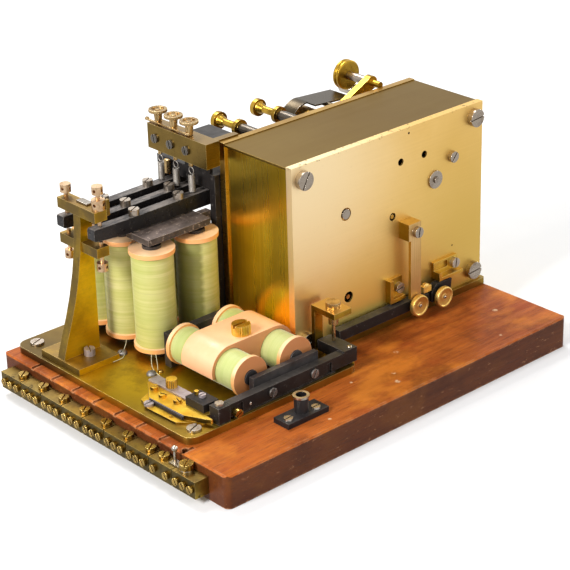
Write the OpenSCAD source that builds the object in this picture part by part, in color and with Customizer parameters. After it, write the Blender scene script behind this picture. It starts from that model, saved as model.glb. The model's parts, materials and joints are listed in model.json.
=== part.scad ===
// Clockwork telegraph recorder with three writing levers, millimetres.
// Origin at the centre of the board's underside, X to the right along the terminal-to-case
// length, Y from the open side towards the tape side, Z up.

/* [Board and plate] */
// Length of the wooden board
board_w = 300; // [290:1:310]
// Depth of the wooden board
board_d = 226; // [224:1:240]
// Thickness of the wooden board
board_t = 22; // [18:1:26]
// Thickness of the brass base plate
plate_t = 5; // [4:0.5:6]

/* [Movement case] */
// Left face of the case, seen from the open side
case_left = -25.5; // [-26:0.5:-25]
// Length of the case
case_w = 173; // [172:1:174]
// Height of the case above the base plate
case_h = 129.5; // [128:0.5:132]
// Near face of the case
case_near = -36; // [-36.5:0.5:-35.5]
// Far face of the case
case_far = 32.5; // [32:0.5:33]
// Thickness of the two movement plates
wall = 5; // [4:0.5:6]

/* [Upright magnets] */
// Distance between the two coils of a pair
coil_pitch = 36; // [34:1:38]
// Distance between two pairs
row_pitch = 30; // [30:1:31]
// Radius of the fibre flanges
flange_r = 15; // [13:0.5:15]
// Radius of the silk winding
winding_r = 13.8; // [11:0.2:14]

/* [Writing levers] */
// Distance between two levers
lever_pitch = 15.8; // [15:0.1:16.5]
// Width of a lever
lever_w = 7; // [5:0.5:7]
// Height of the lever pivot above the table
lever_pivot_z = 116; // [116:0.5:117]

/* [Terminals] */
// Distance between two terminals
terminal_pitch = 22; // [21:0.5:22]
// Number of terminals
terminal_count = 9; // [5:1:9]

/* [Gear train] */
// Tooth module of all gears
gear_module = 0.8; // [0.8:0.1:0.8]

/* [Hidden] */
$fn = 48;

// Clearances
fit = 0.05;
gap = 0.3;

// Levels
table_z = board_t + plate_t;
case_top = table_z + case_h;
case_right = case_left + case_w;
near_in = case_near + wall;
far_in = case_far - wall;
cover_t = 1.5;
cover_top = case_top - 0.7;

// Base plate outline
plate_left = -board_w / 2 + 7;
plate_step_x = -2.5;
plate_wide_y = -71;
plate_narrow_y = -39;
plate_far_y = 109;

// Upright magnets
row_a_y = 34;
coil_x = [-65 - coil_pitch / 2, -65 + coil_pitch / 2];
row_y = [row_a_y, row_a_y + row_pitch, row_a_y + 2 * row_pitch];
core_r = 4.5;
yoke_z = table_z + 5;
flange_t = 3;
coil_top = 101;
pole_top = 103;

// Writing levers
pivot_x = -15;
lever_y = [46.9, 46.9 + lever_pitch, 46.9 + 2 * lever_pitch];
lever_foot_z = 110.3;
lever_head_z = 120;
lever_nose = [-119.8, -103.5, -120.3];
nose_r = 1.6;
nose_z = [112.2, 120.4];
pen_x = 73;
lever_screw_x = [[-85.5, -49.3], [-80, -44], [-85.5, -49.3]];
screw_r = 1.6;
spring_x = -37.5;
armature_z = [105.2, 109.5];
armature_x = [-90.5, -39.5];
armature_y = [[27, 50.4], [53.4, 73.2], [75, 101]];

// Stop post
post_y = lever_y[1];
arm_x = [-119, -109.5];
arm_y = [42.8, 82];
upper_arm_z = [125, 132];
lower_arm_z = [101, 107.6];
stop_x = [-112.6, -112.6, -114.3];

// Tension bar
bar_x = [-42, -31];
bar_y = [25.5, 85];
bar_z = [143.5, 160.5];

// Relay
relay_x = [-82, -44.5];
relay_z = 41.5;
relay_flange_r = 13.6;
relay_winding_r = 12.5;
relay_y = [-57, 9];
rock_y = -66;
rock_z = 32.5;
rock_bar_x = [-109, -3];
rock_lug_x = [-101, -27];
relay_screw = [-65.9, -30.5];
relay_stop = [-8, -53];

// Release gear on the near face
release_pivot = [75.2, 33.5];
hand_pivot = [99.3, 31.6];
disc_r = 7.5;

// Gear train: each arbor is found from the meshing distances
great_n = 90;
centre_pinion_n = 16;
centre_n = 70;
third_pinion_n = 12;
third_n = 64;
governor_pinion_n = 12;
feed_pinion_n = 12;
barrel_at = [102, 113];
centre_angle = 200.8;
centre_at = barrel_at + mesh(great_n, centre_pinion_n) * [cos(centre_angle), sin(centre_angle)];
governor_at = [21.9, 53.7];
third_at = meeting(centre_at, mesh(centre_n, third_pinion_n), governor_at, mesh(third_n, governor_pinion_n));
feed_angle = 49.2;
feed_r = 4.5;
feed_at = barrel_at + mesh(great_n, feed_pinion_n) * [cos(feed_angle), sin(feed_angle)];
great_y = [9, 12];
centre_y = [-22, -19.5];
third_y = [16, 18.5];
drum_y = [-16, 12];
pivot_r = 1.5;

// Tape side
drum_at = [72, 137];
drum_r = 11;
tape_y = [46.5, 67];
pressure_at = [120, 157.4];
pressure_pivot = [96, 146.4];
pressure_r = 10.5;

// Distance between the axes of two gears in mesh
function mesh(a, b) = gear_module * (a + b) / 2;

// Point at distance ra from a and rb from b, on the right of the line from a to b
function meeting(a, ra, b, rb) =
    let (d = norm(b - a), u = (b - a) / d, along = (ra * ra - rb * rb + d * d) / (2 * d),
        side = sqrt(ra * ra - along * along))
    a + along * u + side * [-u[1], u[0]];

function heading(a, b) = atan2(b[1] - a[1], b[0] - a[0]);

function arc(x, y, r, from, to, steps = 6) =
    [for (i = [0:steps]) let (t = from + (to - from) * i / steps) [x + r * cos(t), y + r * sin(t)]];

// Box between two limits on each axis
module box(x, y, z) {
    translate([x[0], y[0], z[0]]) cube([x[1] - x[0], y[1] - y[0], z[1] - z[0]]);
}

// Round bars along Z, Y and X
module upright(x, y, z, r) {
    translate([x, y, z[0]]) cylinder(h = z[1] - z[0], r = r);
}

module crosswise(at, y, r) {
    translate([at[0], y[0], at[1]]) rotate([-90, 0, 0]) cylinder(h = y[1] - y[0], r = r);
}

module lengthwise(x, y, z, r) {
    translate([x[0], y, z]) rotate([0, 90, 0]) cylinder(h = x[1] - x[0], r = r);
}

// Outline drawn in X and Z, given its depth along Y
module side_view(y) {
    translate([0, y[1], 0]) rotate([90, 0, 0]) linear_extrude(height = y[1] - y[0]) children();
}

// Slotted screw standing on a surface, head up, shank down
module screw(head_r, head_h, shank_r, shank_l) {
    difference() {
        cylinder(h = head_h, r = head_r);
        translate([-head_r - 1, -0.5, head_h - 1.2]) cube([2 * head_r + 2, 1, 2]);
    }
    translate([0, 0, -shank_l]) cylinder(h = shank_l + 0.2, r = shank_r);
}

// The same screw with its head towards the near side, the far side and the left
module screw_near(at, y, head_r, head_h, shank_r, shank_l, turn = 0) {
    translate([at[0], y, at[1]]) rotate([90, 0, 0]) rotate([0, 0, turn]) screw(head_r, head_h, shank_r, shank_l);
}

module screw_far(at, y, head_r, head_h, shank_r, shank_l, turn = 0) {
    translate([at[0], y, at[1]]) rotate([-90, 0, 0]) rotate([0, 0, turn]) screw(head_r, head_h, shank_r, shank_l);
}

module screw_left(x, y, z, head_r, head_h, shank_r, shank_l, turn = 0) {
    translate([x, y, z]) rotate([0, -90, 0]) rotate([0, 0, turn]) screw(head_r, head_h, shank_r, shank_l);
}

// Knurled disc standing on z = 0
module knurled(r, h, ridges = 30) {
    linear_extrude(height = h)
        polygon([for (i = [0:2 * ridges - 1]) let (k = i % 2 == 0 ? r : r - 0.35, t = 180 * i / ridges)
            [k * cos(t), k * sin(t)]]);
}

// Spur gear outline with a tooth centred on the X axis
module gear_outline(teeth) {
    step = 360 / teeth;
    tip = gear_module * (teeth / 2 + 0.8);
    root = gear_module * (teeth / 2 - 1.1);
    polygon([for (i = [0:teeth - 1], k = [[-0.24, 0], [-0.1, 1], [0.1, 1], [0.24, 0]])
        let (r = k[1] == 1 ? tip : root, t = step * (i + k[0])) [r * cos(t), r * sin(t)]]);
}

// Gear with its axis along Y, turned so that a tooth points in the given direction
module gear(at, teeth, y, turn) {
    translate([at[0], y[1], at[1]]) rotate([90, 0, 0]) rotate([0, 0, turn])
        linear_extrude(height = y[1] - y[0]) gear_outline(teeth);
}

module rounded(x, y, r) {
    polygon(concat(arc(x[1] - r, y[0] + r, r, -90, 0), arc(x[1] - r, y[1] - r, r, 0, 90),
        arc(x[0] + r, y[1] - r, r, 90, 180), arc(x[0] + r, y[0] + r, r, 180, 270)));
}

// Board with grooves for the leads and the hole that the plug lead goes down
module baseboard() {
    groove_w = 2.4;
    groove_d = 1.2;
    chamfer = 1.4;
    color("sienna") difference() {
        linear_extrude(height = board_t)
            rounded([-board_w / 2, board_w / 2], [-board_d / 2, board_d / 2], 4);
        for (i = [0:7]) translate([-board_w / 2 - 1, 80.5 - 21.8 * i - groove_w / 2, board_t - groove_d])
            cube([10, groove_w, groove_d + 1]);
        upright(-board_w / 2 + 3.5, -71, [board_t - 8, board_t + 1], 2.2);
        for (side = [-1, 1]) {
            translate([0, side * board_d / 2, board_t]) rotate([45, 0, 0])
                cube([board_w + 10, chamfer, chamfer], center = true);
            translate([side * board_w / 2, 0, board_t]) rotate([0, 45, 0])
                cube([chamfer, board_d + 10, chamfer], center = true);
        }
    }
}

// Terminals on the left end of the board
terminal_x = [-board_w / 2 - 10.5, -board_w / 2];
terminal_z = [4.5, 16];
function terminal_near(i) = 80 - terminal_pitch * i;

module terminal_blocks() {
    color("goldenrod") for (i = [0:terminal_count - 1]) difference() {
        box(terminal_x, [terminal_near(i), terminal_near(i) + terminal_pitch - 0.8], terminal_z);
        upright(terminal_x[1] - 4.5, clamp_y(i), [terminal_z[1] - 8, terminal_z[1] + 1], 1.5 + fit);
        for (y = front_screw_y(i)) lengthwise([terminal_x[0] - 1, terminal_x[0] + 5], y, 10, 1.3 + fit);
    }
}

function clamp_y(i) = terminal_near(i) + (i == terminal_count - 2 ? 13.5 : i == terminal_count - 1 ? 14.5 : 4.2);
function front_screw_y(i) = i == terminal_count - 2
    ? [terminal_near(i) + 4.5, terminal_near(i) + 16.5]
    : [terminal_near(i) + 4, terminal_near(i) + 10.5, terminal_near(i) + 17];

module terminal_clamp_screws() {
    color("gold") for (i = [0:terminal_count - 1]) {
        on_link = i == terminal_count - 1;
        translate([terminal_x[1] - 4.5, clamp_y(i), terminal_z[1] + (on_link ? 1.2 : 0)])
            rotate([0, 0, 35]) screw(on_link ? 4.4 : 3.5, on_link ? 4 : 2.6, 1.5, 7);
    }
}

module terminal_front_screws() {
    color("silver") for (i = [0:terminal_count - 1]) for (y = front_screw_y(i))
        screw_left(terminal_x[0], y, 10, 2.6, 1.8, 1.3, 4.5, 40);
}

// Steel strap that joins the last two terminals, with a ball-topped pin
module terminal_link() {
    strap_x = terminal_x[1] - 4.5;
    strap_y = clamp_y(terminal_count - 1);
    pin_y = terminal_near(terminal_count - 2) + 3;
    color("lightsteelblue") {
        difference() {
            union() {
                upright(strap_x, strap_y, [terminal_z[1], terminal_z[1] + 1.2], 4.2);
                box([strap_x - 2.6, strap_x + 2.6], [strap_y, pin_y + 3], [terminal_z[1], terminal_z[1] + 1.2]);
            }
            upright(strap_x, strap_y, [terminal_z[1] - 1, terminal_z[1] + 2], 1.5 + fit);
        }
        upright(strap_x, pin_y, [terminal_z[1] + 1.2, 25], 1);
        translate([strap_x, pin_y, 26.4]) sphere(r = 2);
    }
}

plate_screw_at = [[-132.5, -62.5], [-132.2, 99], [6, 99], [138, 99], [138, 44]];

module base_plate() {
    r = 8;
    outline = concat(arc(plate_step_x - r, plate_wide_y + r, r, -90, 0),
        [[plate_step_x, plate_narrow_y]],
        arc(board_w / 2 - 2, plate_narrow_y + 2, 2, -90, 0),
        arc(board_w / 2 - r, plate_far_y - r, r, 0, 90),
        arc(plate_left + r, plate_far_y - r, r, 90, 180),
        arc(plate_left + r, plate_wide_y + r, r, 180, 270));
    color("goldenrod") difference() {
        translate([0, 0, board_t]) linear_extrude(height = plate_t) polygon(outline);
        for (p = plate_screw_at) upright(p[0], p[1], [board_t - 1, table_z + 1], 2.3);
    }
}

module base_plate_screws() {
    color("silver") for (p = plate_screw_at)
        translate([p[0], p[1], table_z]) rotate([0, 0, 20]) screw(4.6, 1.6, 2.2, plate_t);
}

corner_at = [[case_left + 9, case_top - 9.5], [case_right - 8.5, case_top - 9.5],
    [case_right - 8.5, table_z + 8.5], [case_left + 9, table_z + 8.5]];
small_screw_at = [118, 125];
stud_at = [20.4, 112.6];
blind_at = [[70, 134.2], [91.8, 133.6]];

// Open plate of the movement, with the holes that show
module near_plate() {
    skin = 2;
    color("gold") difference() {
        box([case_left, case_right], [case_near, near_in], [table_z, case_top]);
        for (p = corner_at) crosswise(p, [case_near - 1, near_in + 1], 2 + fit);
        crosswise(small_screw_at, [case_near - 1, case_near + 4], 1.5 + fit);
        crosswise(stud_at, [case_near - 1, case_near + 3], 4.4);
        crosswise(barrel_at, [case_near - 1, near_in + 1], 2.2 + fit);
        crosswise(centre_at, [case_near - 1, near_in + 1], pivot_r + fit);
        crosswise(governor_at, [case_near - 1, near_in + 1], pivot_r + fit);
        crosswise(governor_at, [case_near - 1, case_near + 3.2], 3.8);
        crosswise(centre_at, [case_near - 1, case_near + 2.6], 2.8);
        crosswise(third_at, [near_in - wall + skin, near_in + 1], pivot_r + fit);
        crosswise(feed_at, [near_in - wall + skin, near_in + 1], pivot_r + fit);
        for (p = blind_at) crosswise(p, [case_near - 1, near_in + 1], 2.5);
    }
}

guide_at = [[8.2, 152], [42.8, 152]];
shoe_rod_at = [83.5, 149.8];

module far_plate() {
    color("goldenrod") difference() {
        box([case_left, case_right], [far_in, case_far], [table_z, case_top]);
        for (p = corner_at) crosswise(p, [far_in - 1, case_far + 1], 2 + fit);
        crosswise(barrel_at, [far_in - 1, case_far + 1], 4 + fit);
        crosswise(feed_at, [far_in - 1, case_far + 1], 2.5 + fit);
        for (p = [centre_at, third_at, governor_at]) crosswise(p, [far_in - 1, far_in + 3], pivot_r + fit);
        for (p = guide_at) crosswise(p, [case_far - 4, case_far + 1], 2 + fit);
        crosswise(drum_at, [case_far - 4, case_far + 1], 2 + fit);
        crosswise(pressure_pivot, [case_far - 3, case_far + 1], 1.8 + fit);
    }
}

// Two end sheets and the top sheet of the case
module case_covers() {
    color("darkgoldenrod") {
        for (x = [case_left + cover_t, case_right - 2 * cover_t])
            box([x, x + cover_t], [near_in, far_in], [table_z, cover_top - cover_t]);
        box([case_left, case_right], [near_in, far_in], [cover_top - cover_t, cover_top]);
    }
}

module case_pillars() {
    color("goldenrod") for (p = corner_at) difference() {
        crosswise(p, [near_in, far_in], 5);
        crosswise(p, [near_in - 1, near_in + 8], 2 + fit);
        crosswise(p, [far_in - 8, far_in + 1], 2 + fit);
    }
}

// Big corner screws, the small screw, the arbor washer and the round stud of the near plate
module case_screws() {
    turns = [60, 5, 5, 30];
    color("silver") {
        for (i = [0:3]) {
            screw_near(corner_at[i], case_near, 6.2, 4, 2, wall + 6, turns[i]);
            screw_far(corner_at[i], case_far, 6.2, 3, 2, wall + 6, turns[i]);
        }
        screw_near(small_screw_at, case_near, 3.9, 3, 1.5, 3.5, 50);
        difference() {
            crosswise(barrel_at, [case_near - 1.2, case_near], 6.2);
            crosswise(barrel_at, [case_near - 2, case_near + 1], 2.2 + fit);
        }
        crosswise(stud_at, [case_near - 0.4, case_near + 3], 3.4);
    }
}

// Two turned posts that lead the tape
module guide_posts() {
    color("silver") for (p = guide_at) {
        crosswise(p, [case_far - 3.5, case_far], 2);
        crosswise(p, [case_far, 50], 3.6);
        crosswise(p, [50, 53], 5.8);
        crosswise(p, [53, 66.5], 2.6);
        translate([p[0], 66, p[1]]) rotate([-90, 0, 0]) cylinder(h = 5, r1 = 2.8, r2 = 4.4);
        crosswise(p, [70.6, 74], 6);
    }
}

// Curved steel shoe over the drum, running on as a flat table
module tape_shoe() {
    r = 15.6;
    t = 1.2;
    end = [104.5, 150.3];
    band_near = 55;
    color("dimgray") union() {
        side_view(tape_y) polygon(concat(
            arc(drum_at[0], drum_at[1], r, 92, 80, 3), [end, end - [0, t]],
            arc(drum_at[0], drum_at[1], r - t, 80, 92, 3)));
        side_view([band_near, tape_y[1]]) polygon(concat(
            arc(drum_at[0], drum_at[1], r, 165, 91, 12), arc(drum_at[0], drum_at[1], r - t, 91, 165, 12)));
        crosswise(shoe_rod_at, [case_far, tape_y[1] - 2], 1.8);
    }
}

// Drum under the shoe that the pens write against, on its own stud
module tape_drum() {
    color("gold") {
        difference() {
            crosswise(drum_at, tape_y + [1.5, 2.5], drum_r);
            crosswise(drum_at, [tape_y[0] - 1, tape_y[0] + 6], drum_r - 2);
            crosswise(drum_at, [tape_y[0] - 1, 90], 3 + fit);
        }
        crosswise(drum_at, [case_far - 3.5, case_far], 2);
        crosswise(drum_at, [case_far, 72], 3);
    }
}

// Black frame that carries the levers, on two columns
frame_x = [-30, -6];
frame_y = [case_far + 0.5, 92];

module lever_frame() {
    cheek = 5.5;
    foot_z = 108;
    bridge_z = [124, 134];
    color([0.12, 0.12, 0.13]) difference() {
        union() {
            for (y = [[frame_y[0], frame_y[0] + cheek], [frame_y[1] - cheek, frame_y[1]]]) {
                box([frame_x[0], -23.2], y, [table_z, foot_z + 1]);
                box(frame_x, y, [foot_z, bridge_z[1]]);
            }
            box(frame_x, frame_y, bridge_z);
            box([frame_x[0], frame_x[0] + 3], [case_far + 5.5, 63], [123, 156]);
            box([frame_x[0], -8], [case_far + 5.5, 63], [153, 156]);
        }
        crosswise([pivot_x, lever_pivot_z], [frame_y[0] - 1, frame_y[1] + 1], 2 + fit);
    }
}

module lever_pivot_rod() {
    color("silver") crosswise([pivot_x, lever_pivot_z], [frame_y[0], frame_y[1]], 2);
}

// Brass bar that holds the three spring screws, with its foot on the far plate
module tension_bar() {
    color("goldenrod") difference() {
        union() {
            box(bar_x, bar_y, bar_z);
            box([bar_x[1] - 1, -9], [case_far, case_far + 5], [bar_z[0], bar_z[1] - 3]);
        }
        crosswise(corner_at[0], [case_far - 1, case_far + 6], 6.8);
        for (y = lever_y) {
            upright(spring_x, y, [bar_z[0] - 1, bar_z[1] + 1], 1.5 + fit);
            lengthwise([bar_x[0] - 1, bar_x[0] + 2.5], y - 1.2, 151.5, 1.3 + fit);
        }
    }
    color("silver") for (y = lever_y) screw_left(bar_x[0], y - 1.2, 151.5, 3, 1.4, 1.3, 2, 15);
}

module tension_screw(y) {
    color("gold") {
        upright(spring_x, y, [139.4, bar_z[1] + 0.4], 1.5);
        translate([spring_x, y, bar_z[1] + gap]) cylinder(h = 8.1, r1 = 2.3, r2 = 3);
        difference() {
            translate([spring_x, y, 168.6]) knurled(6.3, 2, 36);
            upright(spring_x, y, [169.6, 171], 4.2);
        }
        upright(spring_x, y, [169, 170.4], 1.8);
    }
}

// Extension springs between the levers and the spring screws
module tension_springs() {
    color("silver") for (y = lever_y) {
        difference() {
            upright(spring_x, y, [lever_head_z + 1.1, 134], 2.3);
            upright(spring_x, y, [lever_head_z, 133], 1.5);
        }
        upright(spring_x, y, [134, 139], 0.6);
    }
}

// Tapered post with two cross arms
module stop_post() {
    base_x = [-140, -108];
    foot_t = 4;
    half = 3.5;
    foot_screw_y = [54.8, 70.6];
    color("goldenrod") difference() {
        union() {
            box(base_x, [42, 83], [table_z, table_z + foot_t]);
            side_view([post_y - half, post_y + half]) polygon([[-139.2, table_z + foot_t - 1],
                [-110.5, table_z + foot_t - 1], [arm_x[1], upper_arm_z[0] + 2], [-118.4, upper_arm_z[0] + 2],
                [-118.6, 118], [-120.4, 100], [-122.9, 85], [-126.4, 70], [-130.3, 57], [-134.6, 45], [-137.6, 36]]);
            box(arm_x, arm_y, upper_arm_z);
            box(arm_x, arm_y, lower_arm_z);
        }
        for (i = [0, 2]) upright(stop_x[i], lever_y[i], [lower_arm_z[0] - 1, upper_arm_z[1] + 1], 1.4 + fit);
        for (y = foot_screw_y) upright(-122, y, [table_z - 1, table_z + foot_t + 1], 2 + fit);
    }
    color("silver") for (y = foot_screw_y) translate([-122, y, table_z + foot_t]) rotate([0, 0, 65])
        screw(3.6, 4.6, 2, foot_t);
}

// Capstan-headed screw: round head with cross holes, pointing up from z = 0
module capstan(neck, shank_l, head_h = 5.4) {
    r = 3.6;
    difference() {
        translate([0, 0, neck]) cylinder(h = head_h, r = r);
        for (a = [20, 110]) translate([0, 0, neck + head_h / 2]) rotate([90, 0, a])
            cylinder(h = 4 * r, r = 1.1, center = true);
    }
    translate([0, 0, -shank_l]) cylinder(h = shank_l + neck + 0.1, r = 1.4);
}

module stop_screws() {
    upper = upper_arm_z[1];
    lower = lower_arm_z[0];
    tail_up = upper - 120.75;
    tail_down = 109.7 - lower;
    color("gold") {
        translate([stop_x[0], lever_y[0], upper]) capstan(10.2, tail_up);
        translate([stop_x[2], lever_y[2], upper]) capstan(3.4, tail_up);
        difference() {
            upright(stop_x[0], lever_y[0], [upper, upper + 6.6], 4.4);
            upright(stop_x[0], lever_y[0], [upper - 1, upper + 8], 1.4 + fit);
            for (a = [20, 110]) translate([stop_x[0], lever_y[0], upper + 3.6]) rotate([90, 0, a])
                cylinder(h = 12, r = 1.1, center = true);
        }
        for (i = [0, 2]) translate([stop_x[i], lever_y[i], lower]) mirror([0, 0, 1]) capstan(5.4, tail_down);
    }
}

// Iron of the upright magnets and of the relay
module magnet_cores() {
    half = 8.5;
    color([0.2, 0.2, 0.22]) {
        for (y = row_y) union() {
            linear_extrude_yoke(y, half);
            for (x = coil_x) {
                upright(x, y, [yoke_z - 1, coil_top + 1], core_r);
                upright(x, y, [coil_top, pole_top], 6.2);
            }
        }
        union() {
            box([relay_x[0] - 10, relay_x[1] + 10], [relay_y[1], relay_y[1] + 6], [table_z, relay_z + 9]);
            for (x = relay_x) crosswise([x, relay_z], [relay_y[0] - 1, relay_y[1] + 1], 5);
        }
    }
}

module linear_extrude_yoke(y, half) {
    translate([0, 0, table_z]) linear_extrude(height = yoke_z - table_z)
        polygon(concat(arc(coil_x[1], y, half, -90, 90, 12), arc(coil_x[0], y, half, 90, 270, 12)));
}

module coil_windings() {
    color("darkkhaki") {
        for (y = row_y, x = coil_x) difference() {
            upright(x, y, [yoke_z + flange_t, coil_top - flange_t], winding_r);
            upright(x, y, [yoke_z, coil_top], core_r + fit);
        }
        for (x = relay_x) difference() {
            crosswise([x, relay_z], [relay_y[0] + flange_t, relay_y[1] - flange_t], relay_winding_r);
            crosswise([x, relay_z], [relay_y[0], relay_y[1]], 5 + fit);
        }
    }
}

module coil_flanges() {
    color("sandybrown") {
        for (y = row_y, x = coil_x, z = [yoke_z, coil_top - flange_t]) difference() {
            upright(x, y, [z, z + flange_t], flange_r);
            upright(x, y, [z - 1, z + flange_t + 1], core_r + fit);
        }
        for (x = relay_x, y = [relay_y[0], relay_y[1] - flange_t]) difference() {
            crosswise([x, relay_z], [y, y + flange_t], relay_flange_r);
            crosswise([x, relay_z], [y - 1, y + flange_t + 1], 5 + fit);
        }
    }
}

// Fibre saddle that clamps the two relay coils
module relay_saddle() {
    r = 15;
    foot_z = 37.5;
    color("sandybrown") difference() {
        side_view([-38, -8]) difference() {
            union() {
                for (x = relay_x) translate([x, relay_z]) circle(r = r);
                translate([relay_x[0], relay_z - 2]) square([relay_x[1] - relay_x[0], r + 2]);
            }
            for (x = relay_x) translate([x, relay_z]) circle(r = relay_winding_r + fit);
            translate([relay_x[0] - 20, 0]) square([80, foot_z]);
        }
        upright(relay_screw[0], relay_screw[1], [table_z, 60], 2.4 + fit);
    }
}

module relay_clamp_screw() {
    top = relay_z + 15;
    color("gold") union() {
        upright(relay_screw[0], relay_screw[1], [table_z, top + 1], 2.4);
        difference() {
            translate([relay_screw[0], relay_screw[1], top]) knurled(6.2, 7, 26);
            translate([relay_screw[0] - 8, relay_screw[1] - 0.8, top + 5]) cube([16, 1.6, 3]);
        }
    }
}

// Black block with the vertical pin, and the two lugs that the lever rocks on
module relay_frame() {
    lug = 3;
    color([0.12, 0.12, 0.13]) {
        difference() {
            box([-119, -110], [-70, -61.4], [table_z, 38]);
            upright(-115, -66, [30, 39], 1.2 + fit);
        }
        difference() {
            union() {
                box([rock_lug_x[0] - 5, rock_lug_x[1] + 5], [-69, -60.5], [table_z, table_z + 1.2]);
                for (x = rock_lug_x) box([x - lug / 2, x + lug / 2], [rock_y - 2, rock_y + 2], [table_z, rock_z + 2]);
            }
            lengthwise([rock_lug_x[0] - 4, rock_lug_x[1] + 4], rock_y, rock_z, 1.2 + fit);
        }
    }
    color("silver") {
        upright(-115, -66, [30, 38.5], 1.2);
        upright(-115, -66, [38, 40], 2.8);
    }
}

// Lever that rocks on the lugs; its long arm lies under the stop screw
module relay_lever() {
    slot = 4;
    color([0.12, 0.12, 0.13]) {
        difference() {
            union() {
                box(rock_bar_x, [-69, -63], [table_z + 1.7, 37.5]);
                box([-14, -3], [-69, -44.3], [31, 38.5]);
            }
            for (x = rock_lug_x) box([x - slot / 2, x + slot / 2], [-70, -62], [table_z, rock_z + 3]);
            for (x = [-75, -40]) crosswise([x, 33], [-70, -62], 1.4 + fit);
        }
        for (x = rock_lug_x) lengthwise([x - slot / 2 - 1.5, x + slot / 2 + 1.5], rock_y, rock_z, 1.2);
    }
    color("gold") screw_near([-105.5, 31.5], -69, 2.8, 4.5, 1.4, 0.1, 30);
}

module relay_armature() {
    color([0.2, 0.2, 0.22]) difference() {
        box([-85, -31], [-63, -59], [30, 43.5]);
        for (x = [-75, -40]) crosswise([x, 33], [-64, -60.5], 1.4 + fit);
    }
    color("silver") for (x = [-75, -40]) screw_near([x, 33], -69, 3, 1.2, 1.4, 8, 60);
}

// Brass carriage of the relay contacts, its ebonite blocks, steel strip and knurled stud
module relay_contacts() {
    low = [table_z, 28.5];
    high = 31.6;
    block_z = 37;
    color("gold") {
        difference() {
            union() {
                translate([0, 0, low[0]]) linear_extrude(height = low[1] - low[0])
                    polygon([[-118, -6], [-133, -12], [-137.5, -24], [-136.5, -50], [-124, -62], [-118, -60]]);
                translate([0, 0, low[1]]) linear_extrude(height = high - low[1])
                    polygon([[-120, -2.5], [-131.5, -18.5], [-131, -51], [-123, -67.5], [-121.8, -67.5],
                        [-121.8, -61], [-117, -61], [-117, -2.5]]);
            }
            upright(-134.2, -43, [low[0] + 0.5, low[1] + 1], 1.3);
        }
        for (p = [[-122.3, -12], [-124.8, -23.3], [-123, -35.5]])
            translate([p[0], p[1], high]) rotate([0, 0, 3 * p[1]]) screw(2.6, 2, 1, 0.1);
    }
    color([0.1, 0.1, 0.11]) {
        box([-116.6, -111.4], [-38, -6], [table_z, high + 0.1]);
        box([-116.6, -109], [-58, -41], [table_z, block_z]);
        box([-121, -109], [-58, -41], [high + 0.1, block_z]);
    }
    color("silver") {
        box([-118.5, -110.8], [-38, -1.5], [high + 0.1, high + 1.4]);
        translate([-134.2, -21.5, low[1]]) screw(3.2, 1.8, 1, 0.1);
        translate([-114.1, -49, block_z]) screw(2.2, 2, 1, 0.1);
    }
    color("gold") {
        translate([-114.4, -19.5, high + 1.4]) knurled(3.7, 5.6, 20);
        upright(-114.3, -43.7, [block_z, block_z + 2.4], 1.5);
    }
}

module relay_bracket() {
    top = [58.5, 62.5];
    color("goldenrod") difference() {
        union() {
            box([-15.5, -8.5], [-43.6, -40.4], [table_z, top[1]]);
            box([-15.5, -0.5], [-62, -40.4], top);
        }
        upright(relay_stop[0], relay_stop[1], [top[0] - 1, top[1] + 1], 1.6 + fit);
    }
}

module relay_stop_screw() {
    color("gold") union() {
        translate([relay_stop[0], relay_stop[1], 62.5]) knurled(5, 4, 22);
        upright(relay_stop[0], relay_stop[1], [50, 63], 1.6);
        upright(relay_stop[0], relay_stop[1], [51, 57.5], 3.2);
        upright(relay_stop[0], relay_stop[1], [38.8, 51], 1.2);
    }
}

// Stop angle and end bracket on the near face
module case_angles() {
    color("goldenrod") {
        difference() {
            box([55.4, 69.2], [-41, case_near], [38.2, 54.6]);
            box([58.4, 70], [-42, -38], [41.2, 55]);
        }
        difference() {
            union() {
                box([99, 122], [case_near - 2.5, case_near], [41.6, 53.4]);
                box([99, 122], [-44, case_near], [41.6, 44]);
                box([99, 101.4], [-44, case_near], [41.6, 47.4]);
            }
            box([101.4, 112], [case_near - 3, case_near - 1], [47.4, 52]);
        }
    }
    color("silver") {
        screw_near([65.2, 47.2], -38, 3.6, 3, 1.5, 0.1, 10);
        screw_near([118, 48.6], case_near - 2.5, 3.6, 3, 1.5, 0.1, 80);
    }
}

// Long brass spring that holds the release lever to its stop
module release_spring() {
    x = [70, 79.5];
    color("goldenrod") union() {
        box(x, [-45.5, -43], [38.2, 93]);
        box([68, x[1]], [-45.5, case_near], [81, 93]);
    }
    color("silver") screw_near([75, 86.5], -45.5, 3.8, 3, 1.5, 0.1, 80);
}

// Ebonite socket for the lead of the local circuit
module plug_socket() {
    at = [-69.5, -89];
    top = 37;
    bore = 3.4;
    color([0.1, 0.1, 0.11]) difference() {
        union() {
            box([-87, -53.5], [-96.5, -83], [board_t, board_t + 3.6]);
            upright(at[0], at[1], [board_t, top - 1.4], 4.6);
        }
        upright(at[0], at[1], [board_t + 4.5, top + 1], bore);
    }
    color("silver") {
        difference() {
            upright(at[0], at[1], [top - 1.4, top], 5.3);
            upright(at[0], at[1], [top - 2, top + 1], bore);
        }
        for (p = [[-82.5, -91.5], [-60.6, -92.4]]) translate([p[0], p[1], board_t + 3.6]) screw(2.8, 1.4, 1, 0.1);
    }
}

// One of the three levers, from its nose at the stop post to the pen under the drum
lever_bend = -96;
function lever_top(x) = lever_head_z + (x - lever_bend) / (-8 - lever_bend);

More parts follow.
